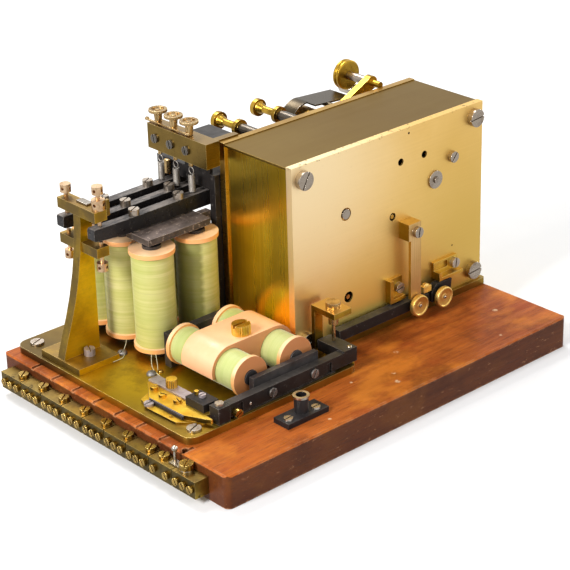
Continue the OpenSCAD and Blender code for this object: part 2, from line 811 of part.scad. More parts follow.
module writing_lever(i) {
    nose = lever_nose[i] + nose_r;
    bend = lever_bend;
    end = [76, 113.3, 117];
    y = [lever_y[i] - lever_w / 2, lever_y[i] + lever_w / 2];
    color([0.12, 0.12, 0.13]) difference() {
        side_view(y) polygon(concat(arc(nose, nose_z[1] - nose_r, nose_r, 90, 180, 4),
            arc(nose, nose_z[0] + nose_r, nose_r, 180, 270, 4),
            [[bend, lever_foot_z], [-5, lever_foot_z], [end[0], end[1]], [end[0], end[2]],
                [-8, lever_head_z + 1], [bend, lever_head_z]]));
        crosswise([pivot_x, lever_pivot_z], [y[0] - 1, y[1] + 1], 2 + fit);
        for (x = lever_screw_x[i]) upright(x, lever_y[i], [lever_foot_z - 1, lever_head_z + 3], screw_r + fit);
        upright(pen_x, lever_y[i], [114, 120], 1.2 + fit);
    }
}

module armature(i) {
    color([0.3, 0.3, 0.32]) difference() {
        union() {
            box(armature_x, armature_y[i], armature_z);
            for (x = lever_screw_x[i]) upright(x, lever_y[i], [armature_z[1] - 1, lever_foot_z], 3.2);
        }
        for (x = lever_screw_x[i]) upright(x, lever_y[i], [armature_z[0] + 1, lever_foot_z + 1], screw_r + fit);
    }
}

// The two cheese-headed screws of a lever and its pen
module lever_fittings(i) {
    color("silver") {
        for (x = lever_screw_x[i]) translate([x, lever_y[i], lever_top(x) + 0.06]) rotate([0, 0, 25])
            screw(3.5, 4, screw_r, 13.6);
        upright(pen_x, lever_y[i], [114.2, 123.2], 1.2);
        translate([pen_x, lever_y[i], 123.1]) cylinder(h = 1.2, r1 = 1.2, r2 = 0.5);
    }
}

// Release lever along the near face, with the tongue under the relay arm
module release_lever() {
    y = [-44, -37.6];
    color([0.12, 0.12, 0.13]) difference() {
        union() {
            side_view(y) polygon([[6, 29.6], [89, 29.6], [89, 36.2], [84, 37], [6, 37]]);
            box([-7, 8], [-48, y[1]], [table_z + 1.7, 30.7]);
        }
        crosswise(release_pivot, [y[0] - 1, y[1] + 1], 2 + fit);
    }
}

module thumb_disc(at, y) {
    color("gold") {
        crosswise(at, [y[0], y[1]], disc_r);
        crosswise(at, [y[1] - 0.1, -44.3], 3);
        crosswise(at, [-44.4, case_near], 2);
    }
}

module hand_lever() {
    y = [-44, -39.6];
    color([0.12, 0.12, 0.13]) difference() {
        side_view(y) polygon([[92, 28.6], [104, 28], [110, 32], [111, 40.6], [96, 41], [91.5, 36]]);
        crosswise(hand_pivot, [y[0] - 1, y[1] + 1], 2 + fit);
    }
}

// Barrel with the great wheel, open towards the near plate
module spring_barrel() {
    color("gold") difference() {
        union() {
            gear(barrel_at, great_n, great_y, centre_angle);
            crosswise(barrel_at, [drum_y[0], great_y[0] + 1], 30);
        }
        crosswise(barrel_at, [drum_y[0] - 1, great_y[0] - 1], 28);
        crosswise(barrel_at, [drum_y[0] - 1, drum_y[1] + 1], 4 + fit);
    }
}

// Coiled spring, a strip that winds from the arbor to the drum wall
module mainspring() {
    turns = 7;
    strip = 0.9;
    inner = 4.6;
    outer = 27;
    steps = turns * 20;
    function at(i, side) = let (t = 360 * turns * i / steps, r = inner + (outer - inner - strip) * i / steps + side)
        [barrel_at[0] + r * cos(t), barrel_at[1] + r * sin(t)];
    color("steelblue") side_view([drum_y[0] + 1, great_y[0] - 1.5])
        polygon(concat([for (i = [0:steps]) at(i, 0)], [for (i = [steps:-1:0]) at(i, strip)]));
}

// Winding arbor with its ratchet wheel and its square for the key
module winding_arbor() {
    ratchet_n = 18;
    color("silver") union() {
        crosswise(barrel_at, [case_near - 2.4, near_in + 0.5], 2.2);
        crosswise(barrel_at, [near_in + 0.4, case_far + 2], 4);
        translate([barrel_at[0], -24.5, barrel_at[1]]) rotate([90, 0, 0]) linear_extrude(height = 3)
            polygon([for (i = [0:ratchet_n - 1], k = [[0, 11], [0.9, 9]]) let (t = 360 * (i + k[0]) / ratchet_n)
                [k[1] * cos(t), k[1] * sin(t)]]);
        box([barrel_at[0] - 2.7, barrel_at[0] + 2.7], [case_far + 1, 52], [barrel_at[1] - 2.7, barrel_at[1] + 2.7]);
    }
}

module centre_wheel() {
    color("gold") union() {
        crosswise(centre_at, [case_near + 0.5, near_in + 0.5], pivot_r);
        crosswise(centre_at, [near_in + 0.4, far_in - 0.4], 2.5);
        crosswise(centre_at, [far_in - 0.5, far_in + 2.8], pivot_r);
        gear(centre_at, centre_pinion_n, [7.5, 14], centre_angle + 180 + 180 / centre_pinion_n);
        gear(centre_at, centre_n, centre_y, heading(centre_at, third_at));
    }
}

module third_wheel() {
    color("gold") union() {
        crosswise(third_at, [near_in - 2.5, near_in + 0.5], pivot_r);
        crosswise(third_at, [near_in + 0.4, far_in - 0.4], 2.5);
        crosswise(third_at, [far_in - 0.5, far_in + 2.8], pivot_r);
        gear(third_at, third_pinion_n, [-24.5, -17], heading(third_at, centre_at) + 180 / third_pinion_n);
        gear(third_at, third_n, third_y, heading(third_at, governor_at));
    }
}

// Air brake that keeps the train at an even speed
module governor() {
    color("gold") union() {
        crosswise(governor_at, [case_near + 0.6, near_in + 0.5], pivot_r);
        crosswise(governor_at, [near_in + 0.4, far_in - 0.4], 2.5);
        crosswise(governor_at, [far_in - 0.5, far_in + 2.8], pivot_r);
        gear(governor_at, governor_pinion_n, [13.5, 21], heading(governor_at, third_at) + 180 / governor_pinion_n);
        box([governor_at[0] - 16, governor_at[0] + 16], [-20, 6], [governor_at[1] - 0.6, governor_at[1] + 0.6]);
    }
}

module feed_roller() {
    color("silver") union() {
        crosswise(feed_at, [near_in - 2.5, near_in + 0.5], pivot_r);
        crosswise(feed_at, [near_in + 0.4, 44.5], 2.5);
        gear(feed_at, feed_pinion_n, [7.5, 13.5], feed_angle + 180 + 180 / feed_pinion_n);
        translate([feed_at[0], 80, feed_at[1]]) rotate([90, 0, 0]) knurled(feed_r, 35.5, 36);
    }
}

// Arm that holds the pressure wheel over the feed roller
module pressure_arm() {
    y = [41, 46];
    boss = 4.8;
    along = heading(pressure_pivot, pressure_at);
    color("gold") union() {
        side_view(y) polygon(concat(arc(pressure_pivot[0], pressure_pivot[1], 4, along + 90, along + 270, 14),
            arc(pressure_at[0], pressure_at[1], boss, along - 115, along + 115, 16)));
        crosswise(pressure_at, [y[1] - 0.5, 71.5], 3);
        crosswise(pressure_at, [case_far + 0.6, y[0] + 0.5], 2.4);
        crosswise(pressure_pivot, [case_far - 2.5, case_far + 0.5], 1.8);
        crosswise(pressure_pivot, [case_far + 0.4, y[0] + 0.1], 3.2);
    }
}

// Grooved brass wheel that runs loose on the end of its shaft
module pressure_wheel() {
    color("gold") translate([pressure_at[0], 64, pressure_at[1]]) rotate([-90, 0, 0]) rotate_extrude()
        polygon([[3 + fit, 0], [9, 0], [pressure_r, 0.6], [pressure_r, 2.2], [pressure_r - 0.9, 2.6],
            [pressure_r - 0.9, 3.4], [pressure_r, 3.8], [pressure_r, 5.4], [9, 6], [3 + fit, 6]]);
}

baseboard();
terminal_blocks();
terminal_clamp_screws();
terminal_front_screws();
terminal_link();
base_plate();
base_plate_screws();
near_plate();
far_plate();
case_covers();
case_pillars();
case_screws();
guide_posts();
tape_shoe();
tape_drum();
lever_frame();
lever_pivot_rod();
tension_bar();
stop_post();
stop_screws();
magnet_cores();
coil_windings();
coil_flanges();
relay_saddle();
relay_clamp_screw();
relay_frame();
relay_contacts();
relay_bracket();
relay_stop_screw();
case_angles();
release_spring();
plug_socket();
tension_springs();
writing_lever(0);  // lever_a
writing_lever(1);  // lever_b
writing_lever(2);  // lever_c
armature(0);  // armature_a
armature(1);  // armature_b
armature(2);  // armature_c
lever_fittings(0);  // lever_fittings_a
lever_fittings(1);  // lever_fittings_b
lever_fittings(2);  // lever_fittings_c
tension_screw(lever_y[0]);  // tension_screw_a
tension_screw(lever_y[1]);  // tension_screw_b
tension_screw(lever_y[2]);  // tension_screw_c
relay_lever();
relay_armature();
release_lever();
thumb_disc(release_pivot, [-50, -46.2]);  // release_disc
hand_lever();
thumb_disc(hand_pivot, [-49.5, -46]);  // hand_disc
spring_barrel();
mainspring();
winding_arbor();
centre_wheel();
third_wheel();
governor();
feed_roller();
pressure_arm();
pressure_wheel();
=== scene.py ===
import bpy
import json
import math
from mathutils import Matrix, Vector


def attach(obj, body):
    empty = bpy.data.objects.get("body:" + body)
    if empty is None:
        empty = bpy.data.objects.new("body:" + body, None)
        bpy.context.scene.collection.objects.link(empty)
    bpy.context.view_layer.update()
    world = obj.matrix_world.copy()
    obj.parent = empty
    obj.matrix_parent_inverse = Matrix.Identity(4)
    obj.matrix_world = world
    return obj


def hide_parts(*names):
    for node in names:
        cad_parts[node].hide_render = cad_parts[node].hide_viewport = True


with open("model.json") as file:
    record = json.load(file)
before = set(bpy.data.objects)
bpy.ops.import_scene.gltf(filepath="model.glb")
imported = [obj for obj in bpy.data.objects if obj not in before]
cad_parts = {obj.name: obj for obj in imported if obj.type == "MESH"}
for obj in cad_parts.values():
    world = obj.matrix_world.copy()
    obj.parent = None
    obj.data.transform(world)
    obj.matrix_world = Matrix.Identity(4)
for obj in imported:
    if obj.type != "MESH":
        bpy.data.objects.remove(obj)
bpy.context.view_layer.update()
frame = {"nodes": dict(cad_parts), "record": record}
print("frame loaded:", len(frame["nodes"]), "nodes")

mm = 0.001
mergeReach = 2e-6  # points of a CAD mesh nearer than this are one
flatAngle = 0.4  # degrees between faces of a CAD mesh that count as flat
bodyOf = {n: b for b, ns in frame["record"]["behaviour"]["bodies"].items() for n in ns}


# modelling helpers

def nothingSelected():
    if bpy.context.mode != "OBJECT":
        bpy.ops.object.mode_set(mode="OBJECT")
    bpy.ops.object.select_all(action="DESELECT")


def pick(*pieces):
    nothingSelected()
    for piece in pieces:
        piece.select_set(True)
    bpy.context.view_layer.objects.active = pieces[0]


def settle(piece):
    pick(piece)
    bpy.ops.object.transform_apply(location=True, rotation=True, scale=True)
    return piece


def applied(piece, kind, **values):
    pick(piece)
    modifier = piece.modifiers.new(kind.title(), kind)
    for key, value in values.items():
        setattr(modifier, key, value)
    bpy.ops.object.modifier_apply(modifier=modifier.name)
    return piece


def bevelled(piece, width, segments=2, angle=35):
    applied(piece, "BEVEL", width=width * mm, segments=segments, limit_method="ANGLE",
            angle_limit=math.radians(angle), use_clamp_overlap=True, miter_outer="MITER_ARC")
    return piece


def smoothed(piece, angle=40):
    pick(piece)
    bpy.ops.object.shade_smooth_by_angle(angle=math.radians(angle))
    applied(piece, "WEIGHTED_NORMAL", mode="FACE_AREA", weight=100, keep_sharp=True)
    return piece


def finished(piece, name, material, body, nodes=()):
    settle(piece)
    piece.name = name
    piece.data.name = name
    piece.data.materials.clear()
    piece.data.materials.append(material)
    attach(piece, body)
    if nodes:
        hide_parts(*nodes)
    return piece


def joined(pieces):
    if len(pieces) > 1:
        pick(*pieces)
        bpy.ops.object.join()
    return pieces[0]


def cadCopy(node):
    source = frame["nodes"][node]
    piece = source.copy()
    piece.data = source.data.copy()
    for key in list(piece.keys()):
        del piece[key]
    piece.parent = None
    bpy.context.scene.collection.objects.link(piece)
    pick(piece)
    if piece.data.has_custom_normals:
        bpy.ops.mesh.customdata_custom_splitnormals_clear()
    bpy.ops.object.mode_set(mode="EDIT")
    bpy.ops.mesh.select_all(action="SELECT")
    bpy.ops.mesh.remove_doubles(threshold=mergeReach)
    bpy.ops.mesh.dissolve_limited(angle_limit=math.radians(flatAngle))
    bpy.ops.mesh.normals_make_consistent(inside=False)
    bpy.ops.object.mode_set(mode="OBJECT")
    return piece


# soft-edged copy of a CAD node, finished as its own piece; what lies in the boxes (mm) of a part is a piece of its own
def softened(node, material, width=0.3, segments=2, parts=()):
    piece = smoothed(bevelled(cadCopy(node), width, segments))
    for part in parts:
        share = cutAway(piece, part["boxes"])
        finished(share, part["name"], part["material"], bodyOf[node], [node])
    return finished(piece, camel(node), material, bodyOf[node], [node])


def cutAway(piece, boxes):
    pick(piece)
    bpy.ops.object.mode_set(mode="EDIT")
    bpy.ops.mesh.select_mode(type="FACE")
    bpy.ops.mesh.select_all(action="DESELECT")
    bpy.ops.object.mode_set(mode="OBJECT")
    for face in piece.data.polygons:
        spot = face.center / mm
        face.select = any(all(a <= c <= b for a, c, b in zip(low, spot, high)) for low, high in boxes)
    bpy.ops.object.mode_set(mode="EDIT")
    bpy.ops.mesh.separate(type="SELECTED")
    bpy.ops.object.mode_set(mode="OBJECT")
    return [o for o in bpy.context.selected_objects if o is not piece][0]


# round wire along points in mm, as a mesh
def wireRun(points, radius):
    nothingSelected()
    curve = bpy.data.curves.new("wireRun", "CURVE")
    curve.dimensions = "3D"
    curve.bevel_depth = radius * mm
    curve.bevel_resolution = 2
    curve.use_fill_caps = True
    line = curve.splines.new("POLY")
    line.points.add(len(points) - 1)
    for point, (x, y, z) in zip(line.points, points):
        point.co = (x * mm, y * mm, z * mm, 1)
    piece = bpy.data.objects.new("wireRun", curve)
    bpy.context.scene.collection.objects.link(piece)
    pick(piece)
    bpy.ops.object.convert(target="MESH")
    return bpy.context.active_object


def camel(node):
    first, *rest = node.split("_")
    return first + "".join(word.title() for word in rest) + "Piece"


# a turned shape: the profile is (radius, height) in mm from the foot, spun about its own axis
def turned(profile, at, axis="Z", steps=40):
    bpy.ops.mesh.primitive_plane_add(size=mm)
    piece = bpy.context.active_object
    pick(piece)
    bpy.ops.object.mode_set(mode="EDIT")
    bpy.ops.mesh.select_mode(type="VERT")
    bpy.ops.mesh.select_all(action="SELECT")
    bpy.ops.mesh.merge(type="CENTER")
    radius, height = profile[0]
    bpy.ops.transform.translate(value=(radius * mm, 0, height * mm))
    for nextRadius, nextHeight in profile[1:]:
        bpy.ops.mesh.extrude_region_move(TRANSFORM_OT_translate={
            "value": ((nextRadius - radius) * mm, 0, (nextHeight - height) * mm)})
        radius, height = nextRadius, nextHeight
    bpy.ops.mesh.select_all(action="SELECT")
    bpy.ops.mesh.spin(steps=steps, angle=2 * math.pi, center=(0, 0, 0), axis=(0, 0, 1))
    bpy.ops.mesh.select_all(action="SELECT")
    bpy.ops.mesh.remove_doubles(threshold=1e-6)
    bpy.ops.mesh.normals_make_consistent(inside=False)
    bpy.ops.object.mode_set(mode="OBJECT")
    turns = {"Z": (0, 0, 0), "Y": (-math.pi / 2, 0, 0), "-Y": (math.pi / 2, 0, 0), "X": (0, math.pi / 2, 0),
             "-X": (0, -math.pi / 2, 0), "-Z": (math.pi, 0, 0)}
    piece.rotation_euler = turns[axis]
    piece.location = Vector(at) * mm
    return settle(piece)


def cube(low, high):
    centre = [(a + b) / 2 * mm for a, b in zip(low, high)]
    bpy.ops.mesh.primitive_cube_add(size=1, location=centre)
    piece = bpy.context.active_object
    piece.scale = [(b - a) * mm for a, b in zip(low, high)]
    return settle(piece)


# material helpers

def freshMaterial(name):
    material = bpy.data.materials.new(name)
    material.use_nodes = True
    tree = material.node_tree
    shader = [n for n in tree.nodes if n.type == "BSDF_PRINCIPLED"][0]
    return material, tree, shader


def place(tree, kind, values=None, **settings):
    made = tree.nodes.new(kind)
    for key, value in settings.items():
        setattr(made, key, value)
    for key, value in (values or {}).items():
        made.inputs[key].default_value = value
    return made


def wire(tree, source, target):
    tree.links.new(source, target)


def noise(tree, coords, scale, detail=4, roughness=0.55, stretch=None, turn=None):
    vector = coords
    if stretch or turn:
        mapping = place(tree, "ShaderNodeMapping", {"Scale": stretch or (1, 1, 1), "Rotation": turn or (0, 0, 0)})
        wire(tree, coords, mapping.inputs["Vector"])
        vector = mapping.outputs["Vector"]
    made = place(tree, "ShaderNodeTexNoise", {"Scale": scale, "Detail": detail, "Roughness": roughness})
    wire(tree, vector, made.inputs["Vector"])
    return made.outputs["Fac"]


def stepped(tree, value, low, high, toLow=0.0, toHigh=1.0):
    made = place(tree, "ShaderNodeMapRange", {"From Min": low, "From Max": high, "To Min": toLow, "To Max": toHigh})
    made.interpolation_type = "SMOOTHSTEP"
    wire(tree, value, made.inputs["Value"])
    return made.outputs["Result"]


def blended(tree, factor, first, second, mode="MIX"):
    made = place(tree, "ShaderNodeMix", data_type="RGBA", blend_type=mode)
    for socket, value in ((0, factor), (6, first), (7, second)):
        if isinstance(value, (int, float)):
            made.inputs[socket].default_value = value
        elif isinstance(value, (tuple, list)):
            made.inputs[socket].default_value = (*value[:3], 1)
        else:
            wire(tree, value, made.inputs[socket])
    return made.outputs[2]


def calc(tree, operation, first, second=0.5, clamp=False):
    made = place(tree, "ShaderNodeMath", operation=operation, use_clamp=clamp)
    for socket, value in enumerate((first, second)):
        if isinstance(value, (int, float)):
            made.inputs[socket].default_value = value
        else:
            wire(tree, value, made.inputs[socket])
    return made.outputs[0]


# 0 on flats, towards 1 near edges that point outwards
def edgeMask(tree, radius, low=0.02, high=0.25):
    bevel = place(tree, "ShaderNodeBevel", {"Radius": radius * mm}, samples=4)
    geometry = place(tree, "ShaderNodeNewGeometry")
    dot = place(tree, "ShaderNodeVectorMath", operation="DOT_PRODUCT")
    wire(tree, bevel.outputs["Normal"], dot.inputs[0])
    wire(tree, geometry.outputs["Normal"], dot.inputs[1])
    away = calc(tree, "SUBTRACT", 1.0, dot.outputs["Value"])
    return stepped(tree, away, low, high)


def bumped(tree, shader, height, strength, distance):
    bump = place(tree, "ShaderNodeBump", {"Strength": strength, "Distance": distance * mm})
    wire(tree, height, bump.inputs["Height"])
    wire(tree, bump.outputs["Normal"], shader.inputs["Normal"])


def srgb(red, green, blue):
    return tuple((c / 255 / 12.92) if c / 255 <= 0.04045 else ((c / 255 + 0.055) / 1.055) ** 2.4
                 for c in (red, green, blue))


def heightOf(tree, coords, axis="Z"):
    split = place(tree, "ShaderNodeSeparateXYZ")
    wire(tree, coords, split.inputs[0])
    return split.outputs[axis]


# round patches at given places, 1 inside, fading out from the given share of the radius
def patches(tree, coords, spots, core=0.4):
    total = 0.0
    for x, y, z, radius in spots:
        far = place(tree, "ShaderNodeVectorMath", {1: (x * mm, y * mm, z * mm)}, operation="DISTANCE")
        wire(tree, coords, far.inputs[0])
        one = stepped(tree, far.outputs["Value"], radius * mm, radius * core * mm)
        total = one if total == 0.0 else calc(tree, "MAXIMUM", total, one)
    return total


# lacquered brass: clouded patina, fine brush lines, darker pits, edges lighter as worn brass and as a painted
# highlight, and painted light and shade on some faces and in patches
def brassMaterial(name, look):
    material, tree, shader = freshMaterial(name)
    coords = place(tree, "ShaderNodeTexCoord").outputs["Object"]
    cloud = stepped(tree, noise(tree, coords, look["cloud"], 5, 0.6), 0.32, 0.7)
    colour = blended(tree, cloud, look["base"], look["patina"])
    lines = noise(tree, coords, 1.0, 3, 0.6, stretch=look["brush"])
    colour = blended(tree, stepped(tree, lines, 0.3, 0.75, 0, look["lineShade"]), colour, look["line"])
    # painted light, shade and reflections: round patches that lighten or darken the colour
    for x, y, z, radius, tint, amount in look["tints"]:
        patch = patches(tree, coords, ((x, y, z, radius),), 0.05)
        colour = blended(tree, calc(tree, "MULTIPLY", patch, amount), colour, tint)
    stain = stepped(tree, noise(tree, coords, look["stainScale"], 6, 0.7), 0.46, 0.66, 0, look["stain"])
    colour = blended(tree, stain, colour, look["dark"])
    facing = place(tree, "ShaderNodeNewGeometry").outputs["Normal"]
    for axis, low, high, key in (("X", -0.5, -0.9, "left"), ("Y", -0.5, -0.9, "front"), ("Z", 0.5, 0.9, "top")):
        if look[key]:  # painted light and shade: faces turned left, to the front or up take a darker or lighter tint by how light falls on them, broken up by noise
            tint, amount = look[key]
            share = stepped(tree, heightOf(tree, facing, axis), low, high, 0, amount)
            worn = stepped(tree, noise(tree, coords, 90, 5, 0.65), 0.25, 0.6, 0.75, 1)
            colour = blended(tree, calc(tree, "MULTIPLY", share, worn), colour, tint)
    pits = stepped(tree, noise(tree, coords, look["pitScale"], 4, 0.7), 0.6, 0.74, 0, look["pits"])
    colour = blended(tree, pits, colour, look["dark"])
    # edges lighter: worn brass, and a painted highlight
    edge = edgeMask(tree, look["edgeWidth"])
    colour = blended(tree, calc(tree, "MULTIPLY", edge, look["edge"]), colour, look["bright"])
    if look["rim"]:  # dark knocks along the top edge
        low, high = look["rim"]
        rim = stepped(tree, heightOf(tree, coords), low * mm, high * mm)
        chips = stepped(tree, noise(tree, coords, 210, 5, 0.75), 0.56, 0.66)
        colour = blended(tree, calc(tree, "MULTIPLY", rim, chips), colour, look["dark"])
    # painted shade: holes and recesses filled near black, and two small dark marks
    if look["spots"]:
        colour = blended(tree, patches(tree, coords, look["spots"], 0.8), colour, look["black"])
    wire(tree, colour, shader.inputs["Base Color"])
    shader.inputs["Metallic"].default_value = 1.0
    rough = calc(tree, "MULTIPLY_ADD", lines, look["roughSpread"])
    tree.nodes[-1].inputs[2].default_value = look["rough"]
    wire(tree, rough, shader.inputs["Roughness"])
    bumped(tree, shader, calc(tree, "ADD", lines, calc(tree, "MULTIPLY", pits, -0.6)), look["bump"], 0.04)
    return material


brassLook = {
    "base": srgb(222, 188, 112), "patina": srgb(190, 150, 74), "line": srgb(160, 122, 56),
    "dark": srgb(92, 70, 30), "bright": srgb(248, 226, 164), "cloud": 30, "brush": (60, 60, 2600),
    "lineShade": 0.3, "pits": 0.35, "pitScale": 300, "edge": 0.6, "edgeWidth": 0.6, "rim": None, "spots": (),
    "tints": (), "left": None, "front": None, "top": None, "black": srgb(30, 24, 14),
    "rough": 0.2, "roughSpread": 0.2, "bump": 0.1, "stain": 0.0, "stainScale": 40,
}


def brassWith(name, **changes):
    return brassMaterial(name, {**brassLook, **changes})


# left, front and top tint the faces turned that way: painted shade and light
brass = {
    # near plate tints: painted light, paler to the upper left and low down, deeper to the lower right; spots: painted
    # shade in holes and recesses, and two small dark marks
    "nearPlate": brassWith("brassNearPlate", base=srgb(246, 208, 134), patina=srgb(234, 192, 110), cloud=7,
                           brush=(14, 30, 700), lineShade=0.06, pits=0.05, rough=0.4, roughSpread=0.06, bump=0.03,
                           rim=(154.6, 156.4), edge=0.35,
                           tints=((-20, -36, 150, 120, srgb(254, 230, 184), 0.9),
                                  (140, -36, 50, 130, srgb(208, 172, 84), 0.85),
                                  (30, -36, 24, 70, srgb(255, 226, 116), 0.85)),
                           spots=((77.4, -36, 152.3, 0.9), (119.3, -36, 59.8, 0.7), (21.9, -32.6, 53.7, 4.9),
                                  (62.4, -32.6, 97.9, 3.9), (70, -32, 134.2, 3.9), (91.8, -32, 133.6, 3.9))),
    "farPlate": brassWith("brassFarPlate", base=srgb(206, 166, 84), patina=srgb(170, 130, 56)),
    # cover tints: painted reflections, bright low down and darker higher up
    "cover": brassWith("brassCover", base=srgb(250, 214, 84), patina=srgb(222, 184, 54), line=srgb(176, 136, 26),
                       cloud=12, brush=(360, 360, 8), lineShade=0.3, pits=0.1, rough=0.22, roughSpread=0.12,
                       edge=0.3, bump=0.03,
                       tints=((-26, -36, 30, 60, srgb(255, 226, 74), 0.9),
                              (-26, -36, 140, 38, srgb(214, 178, 40), 0.9))),
    "topCover": brassWith("brassTopCover", base=srgb(117, 93, 38), patina=srgb(108, 83, 31), cloud=8,
                          line=srgb(96, 72, 26), brush=(10, 120, 10), lineShade=0.2, pits=0.05, rough=0.42,
                          roughSpread=0.06, edge=0.5, bump=0.03, bright=srgb(196, 160, 84)),
    # base plate front: painted shade on the faces turned to the front; tints: a darker patch at the back left and
    # lighter patches towards the front
    "basePlate": brassWith("brassBasePlate", base=srgb(170, 138, 58), patina=srgb(128, 102, 40),
                           line=srgb(110, 86, 34), cloud=26, brush=(60, 12, 12), lineShade=0.12, pits=0.45,
                           rough=0.26, bump=0.0, front=(srgb(140, 112, 36), 0.5), stain=0.45, stainScale=34,
                           tints=((-140, 92, 27, 75, srgb(92, 74, 38), 0.95),
                                  (-116, 14, 27, 62, srgb(208, 172, 34), 0.9),
                                  (-110, -64, 27, 40, srgb(214, 176, 60), 0.6))),
    "block": brassWith("brassBlock", base=srgb(150, 122, 60), patina=srgb(112, 90, 40), cloud=45, pits=0.6,
                       left=(srgb(112, 90, 38), 0.7), top=(srgb(150, 124, 84), 0.7), front=(srgb(100, 76, 26), 0.8)),
    # post: painted shade on the faces turned left and up, and on the arm
    "post": brassWith("brassPost", base=srgb(240, 198, 38), patina=srgb(214, 170, 22), cloud=26,
                      brush=(40, 40, 900), lineShade=0.15, rough=0.34, pits=0.2, stain=0.25, bright=srgb(236, 206, 130),
                      left=(srgb(98, 80, 46), 0.92), top=(srgb(122, 98, 58), 0.95),
                      tints=((-114, 42.8, 128.5, 15, srgb(122, 98, 42), 0.92),
                             (-114, 42.8, 104, 14, srgb(112, 90, 40), 0.92))),
    "bracket": brassWith("brassBracket", base=srgb(176, 138, 40), patina=srgb(120, 92, 24), cloud=50,
                         left=(srgb(92, 72, 20), 0.85), top=(srgb(216, 180, 112), 0.75)),
    "angle": brassWith("brassAngle", base=srgb(222, 184, 78), patina=srgb(176, 138, 44), cloud=50, rough=0.26,
                       left=(srgb(126, 100, 26), 0.85), top=(srgb(212, 178, 104), 0.6)),
    "capstan": brassWith("brassCapstan", base=srgb(226, 194, 156), patina=srgb(178, 142, 108), cloud=160,
                         brush=(1500, 1500, 1500), lineShade=0.25, pits=0.6, rough=0.24,
                         bright=srgb(250, 232, 206)),
    "roller": brassWith("brassRoller", base=srgb(204, 164, 54), patina=srgb(132, 100, 24), cloud=70,
                        brush=(900, 900, 900), lineShade=0.3, pits=0.5, rough=0.2, bright=srgb(246, 214, 120)),
    "nut": brassWith("brassNut", base=srgb(244, 206, 96), patina=srgb(196, 154, 48), cloud=120,
                     brush=(1500, 1500, 1500), lineShade=0.25, pits=0.5, rough=0.2,
                     bright=srgb(255, 236, 160)),
    "turned": brassWith("brassTurned", base=srgb(204, 176, 126), patina=srgb(150, 120, 76), cloud=140,
                        brush=(1500, 1500, 1500), lineShade=0.25, pits=0.7, rough=0.16,
                        bright=srgb(248, 226, 190)),
    "knob": brassWith("brassKnob", base=srgb(200, 160, 58), patina=srgb(112, 84, 22), cloud=120,
                      brush=(1500, 1500, 1500), lineShade=0.3, pits=0.6, rough=0.18, bright=srgb(250, 224, 140)),
    "screwBrass": brassWith("brassScrews", base=srgb(196, 162, 84), patina=srgb(118, 92, 40), cloud=200,
                            brush=(1500, 1500, 1500), lineShade=0.3, pits=0.8, rough=0.16,
                            bright=srgb(250, 228, 150)),
    "disc": brassWith("brassDisc", base=srgb(236, 200, 118), patina=srgb(204, 164, 80), cloud=60,
                      brush=(1400, 60, 1400), lineShade=0.25, pits=0.3, rough=0.36, bright=srgb(252, 232, 184)),
    # contact left: near black on the faces turned left, the painted shadow in the slit under the upper strip
    "contact": brassWith("brassContact", base=srgb(250, 206, 78), patina=srgb(206, 156, 34), cloud=70, pits=0.6,
                         rough=0.3, left=(srgb(24, 18, 8), 0.95)),
    "works": brassWith("brassWorks", base=srgb(214, 174, 90), patina=srgb(190, 146, 66), cloud=40),
    "terminal": brassWith("brassTerminal", base=srgb(168, 140, 56), patina=srgb(96, 80, 34), cloud=60,
                          pits=1.0, pitScale=150, rough=0.24, edge=0.8, left=(srgb(66, 55, 24), 0.8),
                          top=(srgb(136, 112, 66), 0.6), bright=srgb(206, 178, 110), stain=0.7,
                          stainScale=90, dark=srgb(44, 36, 20)),
    "spring": brassWith("brassSpring", base=srgb(222, 186, 128), patina=srgb(200, 162, 98), cloud=20,
                        brush=(1600, 1600, 20), lineShade=0.4, pits=0.1, rough=0.34, left=(srgb(180, 140, 40), 0.8)),
}


# turned or ground steel with brown bloom
def steelMaterial(name, look):
    material, tree, shader = freshMaterial(name)
    coords = place(tree, "ShaderNodeTexCoord").outputs["Object"]
    bloom = stepped(tree, noise(tree, coords, look["cloud"], 6, 0.65), 0.45, 0.75)
    colour = blended(tree, bloom, look["base"], look["bloom"])
    spots = stepped(tree, noise(tree, coords, 700, 3, 0.7), 0.6, 0.72, 0, look["spots"])
    colour = blended(tree, spots, colour, look["dark"])
    edge = edgeMask(tree, 0.5)
    colour = blended(tree, calc(tree, "MULTIPLY", edge, 0.6), colour, look["bright"])
    wire(tree, colour, shader.inputs["Base Color"])
    shader.inputs["Metallic"].default_value = 1.0
    lines = noise(tree, coords, 1.0, 3, 0.6, stretch=look["brush"])
    rough = calc(tree, "MULTIPLY_ADD", lines, 0.2)
    tree.nodes[-1].inputs[2].default_value = look["rough"]
    wire(tree, rough, shader.inputs["Roughness"])
    bumped(tree, shader, lines, 0.12, 0.04)
    return material


steelLook = {"base": srgb(164, 152, 138), "bloom": srgb(122, 106, 90), "dark": srgb(60, 50, 40),
             "bright": srgb(230, 222, 212), "cloud": 120, "spots": 0.5, "brush": (1500, 1500, 1500), "rough": 0.16}


def steelWith(name, **changes):
    return steelMaterial(name, {**steelLook, **changes})


